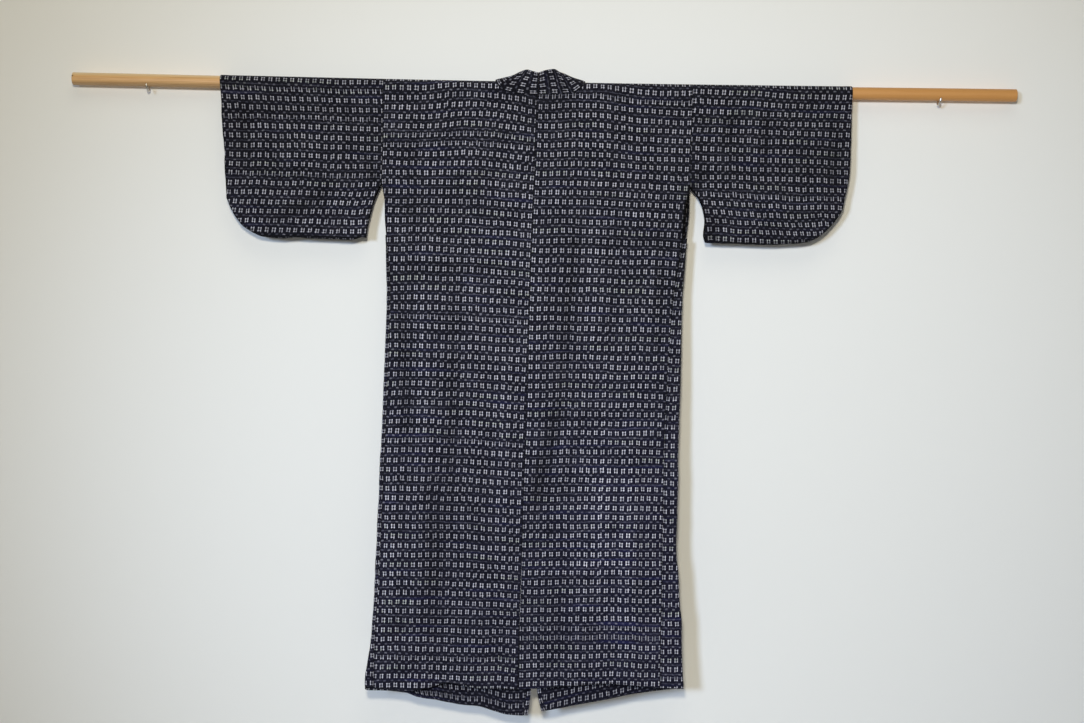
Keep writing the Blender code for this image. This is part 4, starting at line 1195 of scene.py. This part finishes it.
def wood():
    """Pale sanded wood whose grain runs along the pole."""
    g = Graph("pale_wood")
    x, y, z = g.split(g.node("ShaderNodeTexCoord", output=3))
    # The tree's heart lies outside the pole, and its rings wander
    off_y = g.plus(y, g.scaled(g.patches((x, 3.0), y, z, detail=2.0), 0.012, 0.030))
    off_z = g.plus(z, 0.021)
    away = g.math("SQRT", g.plus(g.times(off_y, off_y), g.times(off_z, off_z)))
    ring = g.math("SINE", g.times(away, math.tau / RING_PITCH))
    fibre = g.patches((x, 9.0), (y, 700.0), (z, 700.0), detail=3.0)
    cloud = g.patches((x, 5.0), (y, 40.0), (z, 40.0), detail=2.0)
    light = g.mix(g.soft(ring, -0.4, 1.0), WOOD_EARLY, WOOD_LATE)
    light = g.mix(g.soft(fibre, 0.45, 0.75), light, WOOD_FIBRE)
    light = g.mix(g.times(g.soft(cloud, 0.45, 0.7), 0.35), light, WOOD_CLOUD)
    # Painted shade, dull and bluish, on the underside, a painted highlight along the top on the left, and more
    # orange toward the right
    under = g.times(g.soft(z, -0.001, -0.010), 0.62)
    light = g.mix(under, light, g.mix(1.0, light, WOOD_UNDER_SHADE, "MULTIPLY"))
    above = g.times(g.soft(z, 0.003, 0.011), g.times(g.soft(x, 0.3, -0.3), 0.7))
    light = g.mix(above, light, WOOD_TOP_HIGHLIGHT)
    light = g.mix(g.times(g.soft(x, -0.3, 0.7), 0.85), light, WOOD_ORANGE)
    # Its sawn ends, and a slit in the left one
    at_end = g.soft(g.size(x), POLE_END - 0.0006, POLE_END - 0.0001)
    light = g.mix(g.times(at_end, 0.6), light, WOOD_END)
    slit = g.soft(g.size(g.plus(z, g.scaled(y, 0.15, 0.0012))), 0.0013, 0.0006)
    slit = g.times(slit, g.soft(x, 0.004 - POLE_END, 0.0025 - POLE_END))
    light = g.mix(slit, light, WOOD_SLIT)
    grain = g.bump(g.plus(g.times(ring, 0.25), fibre), 0.00012, 0.6)
    return g.finish(Base_Color=light, Roughness=g.scaled(fibre, 0.15, 0.42), Normal=grain)


NICKEL = (0.55, 0.53, 0.49, 1.0)
NICKEL_DULL = (0.34, 0.31, 0.27, 1.0)


def nickel():
    """Dull plated steel with fine scratches."""
    g = Graph("plated_steel")
    place = g.node("ShaderNodeTexCoord", output=3)
    scratch = g.noise(place, 900.0, 3.0)
    colour = g.mix(g.soft(g.noise(place, 180.0, 3.0), 0.5, 0.75), NICKEL, NICKEL_DULL)
    rough = g.scaled(scratch, 0.25, 0.22)
    return g.finish(Metallic=1.0, Base_Color=colour, Roughness=rough, Normal=g.bump(scratch, 0.00003))


STAGE_HALF = 4.0
FLOOR_Z = -1.70
WALL_LEAN = math.radians(4.3)
WALL_TOP = 2.2
WALL_COLOUR = (0.80, 0.80, 0.785, 1.0)
FLOOR_COLOUR = (0.62, 0.61, 0.595, 1.0)


def plain(name, colour):
    """A plain stage colour, seen only from its front."""
    g = Graph(name)
    g.finish(Base_Color=colour, Roughness=0.9, Specular_IOR_Level=0.1)
    both = g.tree.nodes.new("ShaderNodeMixShader")
    g.join(g.node("ShaderNodeNewGeometry", output=6), both.inputs[0])
    g.join(g.shader.outputs[0], both.inputs[1])
    g.join(g.node("ShaderNodeBsdfTransparent"), both.inputs[2])
    g.join(both.outputs[0], g.tree.nodes["Material Output"].inputs["Surface"])
    return g.material


def add_stage():
    """A pale wall that leans back a little below the hooks, and a pale floor."""
    low = Vector((0.0, -math.tan(WALL_LEAN) * FLOOR_Z, FLOOR_Z))
    high = Vector((0.0, -math.tan(WALL_LEAN) * WALL_TOP, WALL_TOP))
    across = Vector((STAGE_HALF, 0.0, 0.0))
    near = low + Vector((0.0, -2.0 * STAGE_HALF, 0.0))
    for name, foot, top, colour in (
        ("stage_wall", low, high, WALL_COLOUR),
        ("stage_floor", near, low, FLOOR_COLOUR),
    ):
        corners = (foot - across, foot + across, top + across, top - across)
        mesh = bpy.data.meshes.new(name)
        mesh.from_pydata([tuple(corner) for corner in corners], [], [(0, 1, 2, 3)])
        mesh.materials.append(plain(name, colour))
        item = show(name, mesh)
        item.visible_shadow = False


DAYLIGHT = (0.60, 0.75, 1.0)
WARM = (1.0, 0.925, 0.736)
Lamp = namedtuple("Lamp", "name kind place target energy colour settings")


def spot(width, size):
    return {"spot_blend": 1.0, "spot_size": math.radians(width), "shadow_soft_size": size}


LAMPS = (
    Lamp("window", "SPOT", (-1.6, -4.6, -0.10), (0.27, 0.0, -0.85), 535.0, DAYLIGHT, spot(40.0, 0.32)),
    Lamp("room", "SPOT", (-0.10, -3.05, -0.04), (0.0, 0.0, -0.26), 188.0, WARM, spot(94.0, 0.12)),
    Lamp("ceiling", "AREA", (0.2, -2.9, 2.26), (0.0, 0.0, -0.6), 20.0, WARM, {"size": 2.0}),
    Lamp("behind", "AREA", (0.8, 3.2, 0.4), (0.0, 0.0, -0.6), 60.0, (1.0, 0.98, 0.95), {"size": 2.4}),
)
WORLD_COLOUR = (0.92, 0.92, 0.88, 1.0)
WORLD_STRENGTH = 0.13


def add_lights():
    for lamp in LAMPS:
        light = bpy.data.lights.new(lamp.name, lamp.kind)
        light.energy = lamp.energy
        light.color = lamp.colour
        for key, value in lamp.settings.items():
            setattr(light, key, value)
        item = show(lamp.name, light)
        item.location = lamp.place
        item.rotation_euler = (Vector(lamp.target) - Vector(lamp.place)).to_track_quat("-Z", "Y").to_euler()
    world = bpy.data.worlds.new("studio")
    world.use_nodes = True
    background = world.node_tree.nodes["Background"]
    background.inputs["Color"].default_value = WORLD_COLOUR
    background.inputs["Strength"].default_value = WORLD_STRENGTH
    bpy.context.scene.world = world


def add_camera():
    camera = show("camera", bpy.data.cameras.new("camera"))
    camera.data.lens = LENS
    camera.data.sensor_width = SENSOR
    camera.location = (CAMERA_X, POLE_Y - CAMERA_AWAY, CAMERA_Z)
    camera.rotation_euler = (math.radians(90.0), -CAMERA_ROLL, 0.0)
    bpy.context.scene.camera = camera


# What shows of each cut piece, laid flat: width, length and area
Cut = namedtuple("Cut", "width length area")


def main():
    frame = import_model()
    cotton = kasuri()
    makers = (("body", body_sheet), ("sleeve", sleeve_sheet), ("gore", gore_sheet), ("collar", collar_sheet))
    for kind, maker in makers:
        for side in ("left", "right"):
            node = kind + "_" + side
            piece = maker(side, cotton)
            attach(piece, "root")
            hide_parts(node)
    finishes = {"pole": wood(), "hook_left": nickel(), "hook_right": nickel()}
    for node, material in finishes.items():
        for slot in frame["nodes"][node].material_slots:
            slot.material = material
    add_stage()
    add_lights()
    add_camera()
    bpy.context.scene.view_settings.view_transform = "Standard"
    bpy.context.view_layer.update()


main()
